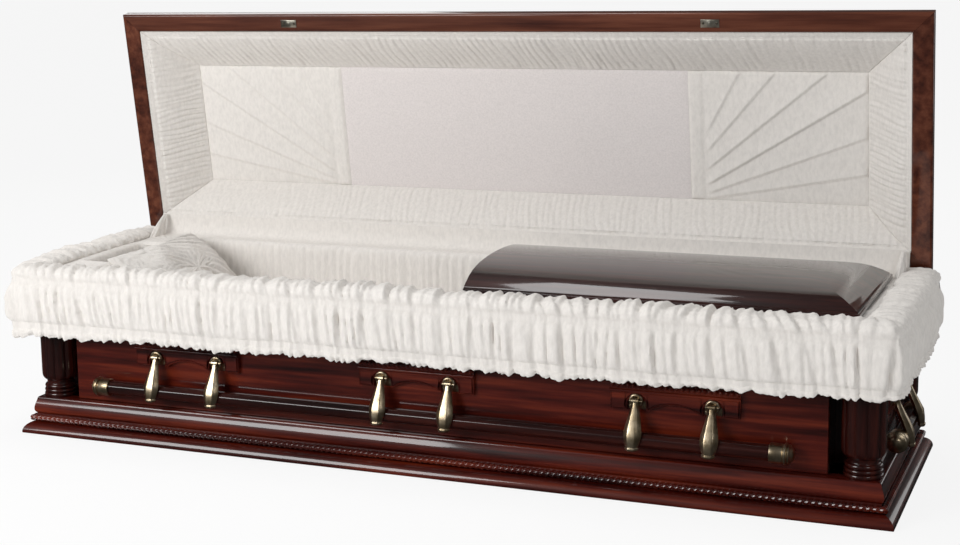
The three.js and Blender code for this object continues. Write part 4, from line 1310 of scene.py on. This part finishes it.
# %% Lugs
PIVOT_OUT, PIVOT_Z = 16, 216
BOW, BOW_OUT, BOW_ENDS, BOW_STATIONS = 12.4, 13.0, (-52, 232), 25
STEM = [(-1.0, 5.0), (-6.0, 4.0), (-12.5, 4.0), (-16.5, 3.4), (-18, 1.2)]


def tube(centre_line, radius, sides=14):
    """A round bar along a curve in the x-z plane: centre_line is points x 3."""
    centre_line = np.asarray(centre_line, float)
    tangent = np.gradient(centre_line, axis=0)
    tangent /= np.linalg.norm(tangent, axis=1)[:, None]
    side = np.cross(tangent, np.array([0.0, 1.0, 0.0]))
    angle = circle(sides)
    across = np.array([0.0, 1.0, 0.0])
    ring = side[:, None] * np.cos(angle)[None, :, None] + across * np.sin(angle)[None, :, None]
    return skin(centre_line[:, None] + ring * np.broadcast_to(radius, len(centre_line))[:, None, None])


def lug(x):
    """A back plate, a horseshoe round the arm's head, a pin and two screws."""
    low, high = np.array([x - 19, -2.6, PIVOT_Z - 20]), np.array([x + 19, -0.4, PIVOT_Z + 9])
    parts = [box_skin(low * MM, high * MM, 1.0 * MM)]
    angle = np.linspace(*(math.radians(end) for end in BOW_ENDS), BOW_STATIONS)
    bow_y = np.full(BOW_STATIONS, -BOW_OUT)
    bow = np.column_stack([x + BOW * np.cos(angle), bow_y, PIVOT_Z + BOW * np.sin(angle)]) * MM
    swelling = np.sin(math.pi * np.linspace(0, 1, BOW_STATIONS)) ** 0.5
    parts.append(tube(bow, 4.1 * MM * (0.7 + 0.3 * swelling)))
    for side in (-1, 1):
        stem = lathe(np.array(STEM) * MM, 14, "y")
        parts.append(moved(stem, (x + side * BOW) * MM, 0, PIVOT_Z * MM))
        place = np.array([x + side * 15.5, -2.4, PIVOT_Z - 15]) * MM
        parts.append(screw_head(*place, 3.0 * MM, "y", -1.0))
    pin = np.array([(x - 14.6, 2.4), (x - 14.2, 2.9), (x + 14.2, 2.9), (x + 14.6, 2.4)]) * MM
    parts.append(moved(lathe(pin, 14, "x"), 0, -(PIVOT_OUT + 0.3) * MM, PIVOT_Z * MM))
    return parts


lug_parts = lug(-LUG_OFFSET) + lug(LUG_OFFSET)
for side, places in HANDLE_PLACES.items():
    for tag, along in places.items():
        make(f"lugs_{side}{tag}", [on_wall(part, side, along) for part in lug_parts], BRASS)

# %% [markdown]
# The bar is mahogany, planed to long flats that mirror the room in straight lines. It hangs in the
# arms and swings with them, so the bar, the arms and the caps ride on the handle's own body.

# %% Bars, arms and caps
BAR_OUT, BAR_Z, BAR_RADIUS = 26, 134, 17.8
CAP_LENGTH, BAR_SHORT = 52, 46  # the bar stops this far short of the cap's tip
ARM = [  # height above the pivot, place behind or before it, width, thickness
    (2, 0, 16, 12), (-10, -3.5, 17, 13), (-16, -6, 21, 14), (-34, -14, 29.5, 16), (-54, -23.5, 38.5, 18),
    (-68, -28.5, 41, 18.5), (-80, -31.2, 37, 17.5), (-90, -33, 30.5, 15), (-93, -33.6, 28, 13.8),
    (-95, -34, 31, 15.6), (-98.5, -34.3, 31, 15.6), (-101, -34.5, 26, 12),
]
ARM_FACETS = [(-2, 0.2), (-0.9, -2), (0.9, -2), (2, 0.2), (1.1, 2), (-1.1, 2)]


def arm(x):
    facets = rounded(ARM_FACETS, 0.22, 2) / 4
    rings = []
    for z, y, width, thickness in flowing(ARM, 64):
        plan = np.column_stack([x + facets[:, 0] * width, y + facets[:, 1] * thickness])
        rings.append(at_height(plan, z))
    head = lathe(np.array([(x - 8.2, 5.6), (x - 7.4, 7.6), (x + 7.4, 7.6), (x + 8.2, 5.6)]) * MM, 20, "x")
    return [skin(np.array(rings) * MM), head]


CAP_PROFILE = [
    (0, 18.4), (0, 20.6), (0.8, 21.3), (2, 21.5), (26, 21.5), (27, 21), (28, 19.4), (29.2, 19.4), (30, 22.8),
    (31.4, 24), (34.4, 24), (36, 22.6), (37, 19.6), (38.2, 19.6), (39.2, 21.4), (41.4, 21), (43, 18.8),
    (44.2, 16.2), (46.5, 14.8), (49.5, 10.8), (51.3, 6.2), (52, 1.0),
]


def bar_end(end, sign):
    profile = np.array([(sign * (end - CAP_LENGTH + h), r) for h, r in CAP_PROFILE]) * MM
    return lathe(profile, 40, "x")


def bar_of(half):
    """An eight-sided bar with eased arrises."""
    angle = (np.arange(8) + 0.5) * math.pi / 4
    section = rounded(np.column_stack([np.cos(angle), np.sin(angle)]) * BAR_RADIUS, 2.2, 3)
    ends = half - BAR_SHORT
    return skin(np.array([[(x, y, z) for y, z in section] for x in (-ends, ends)]) * MM)


BAR_HALF = {"front": 860, "back": 860, "head": 150, "foot": 150}
for side, places in HANDLE_PLACES.items():
    body, half = f"{side}_handle", BAR_HALF[side]
    lift = {"y": -BAR_OUT * MM, "z": BAR_Z * MM}
    bar = on_wall(moved(bar_of(half), **lift), side)
    make(f"bar_{side}", [bar], DARK_WOOD_AND_SHADE[GRAIN[side]], body, [f"handle_{side}"], smooth=20)
    caps = [on_wall(moved(bar_end(half, sign), **lift), side) for sign in (-1, 1)]
    make(f"bar_caps_{side}", caps, BRASS, body)
    hang = {"y": -(PIVOT_OUT + 0.3) * MM, "z": PIVOT_Z * MM}
    arms = []
    for along in places.values():
        for sign in (-1, 1):
            arms += [on_wall(moved(part, **hang), side) for part in arm(along / MM + sign * LUG_OFFSET)]
    make(f"arms_{side}", arms, BRASS, body, smooth=25)
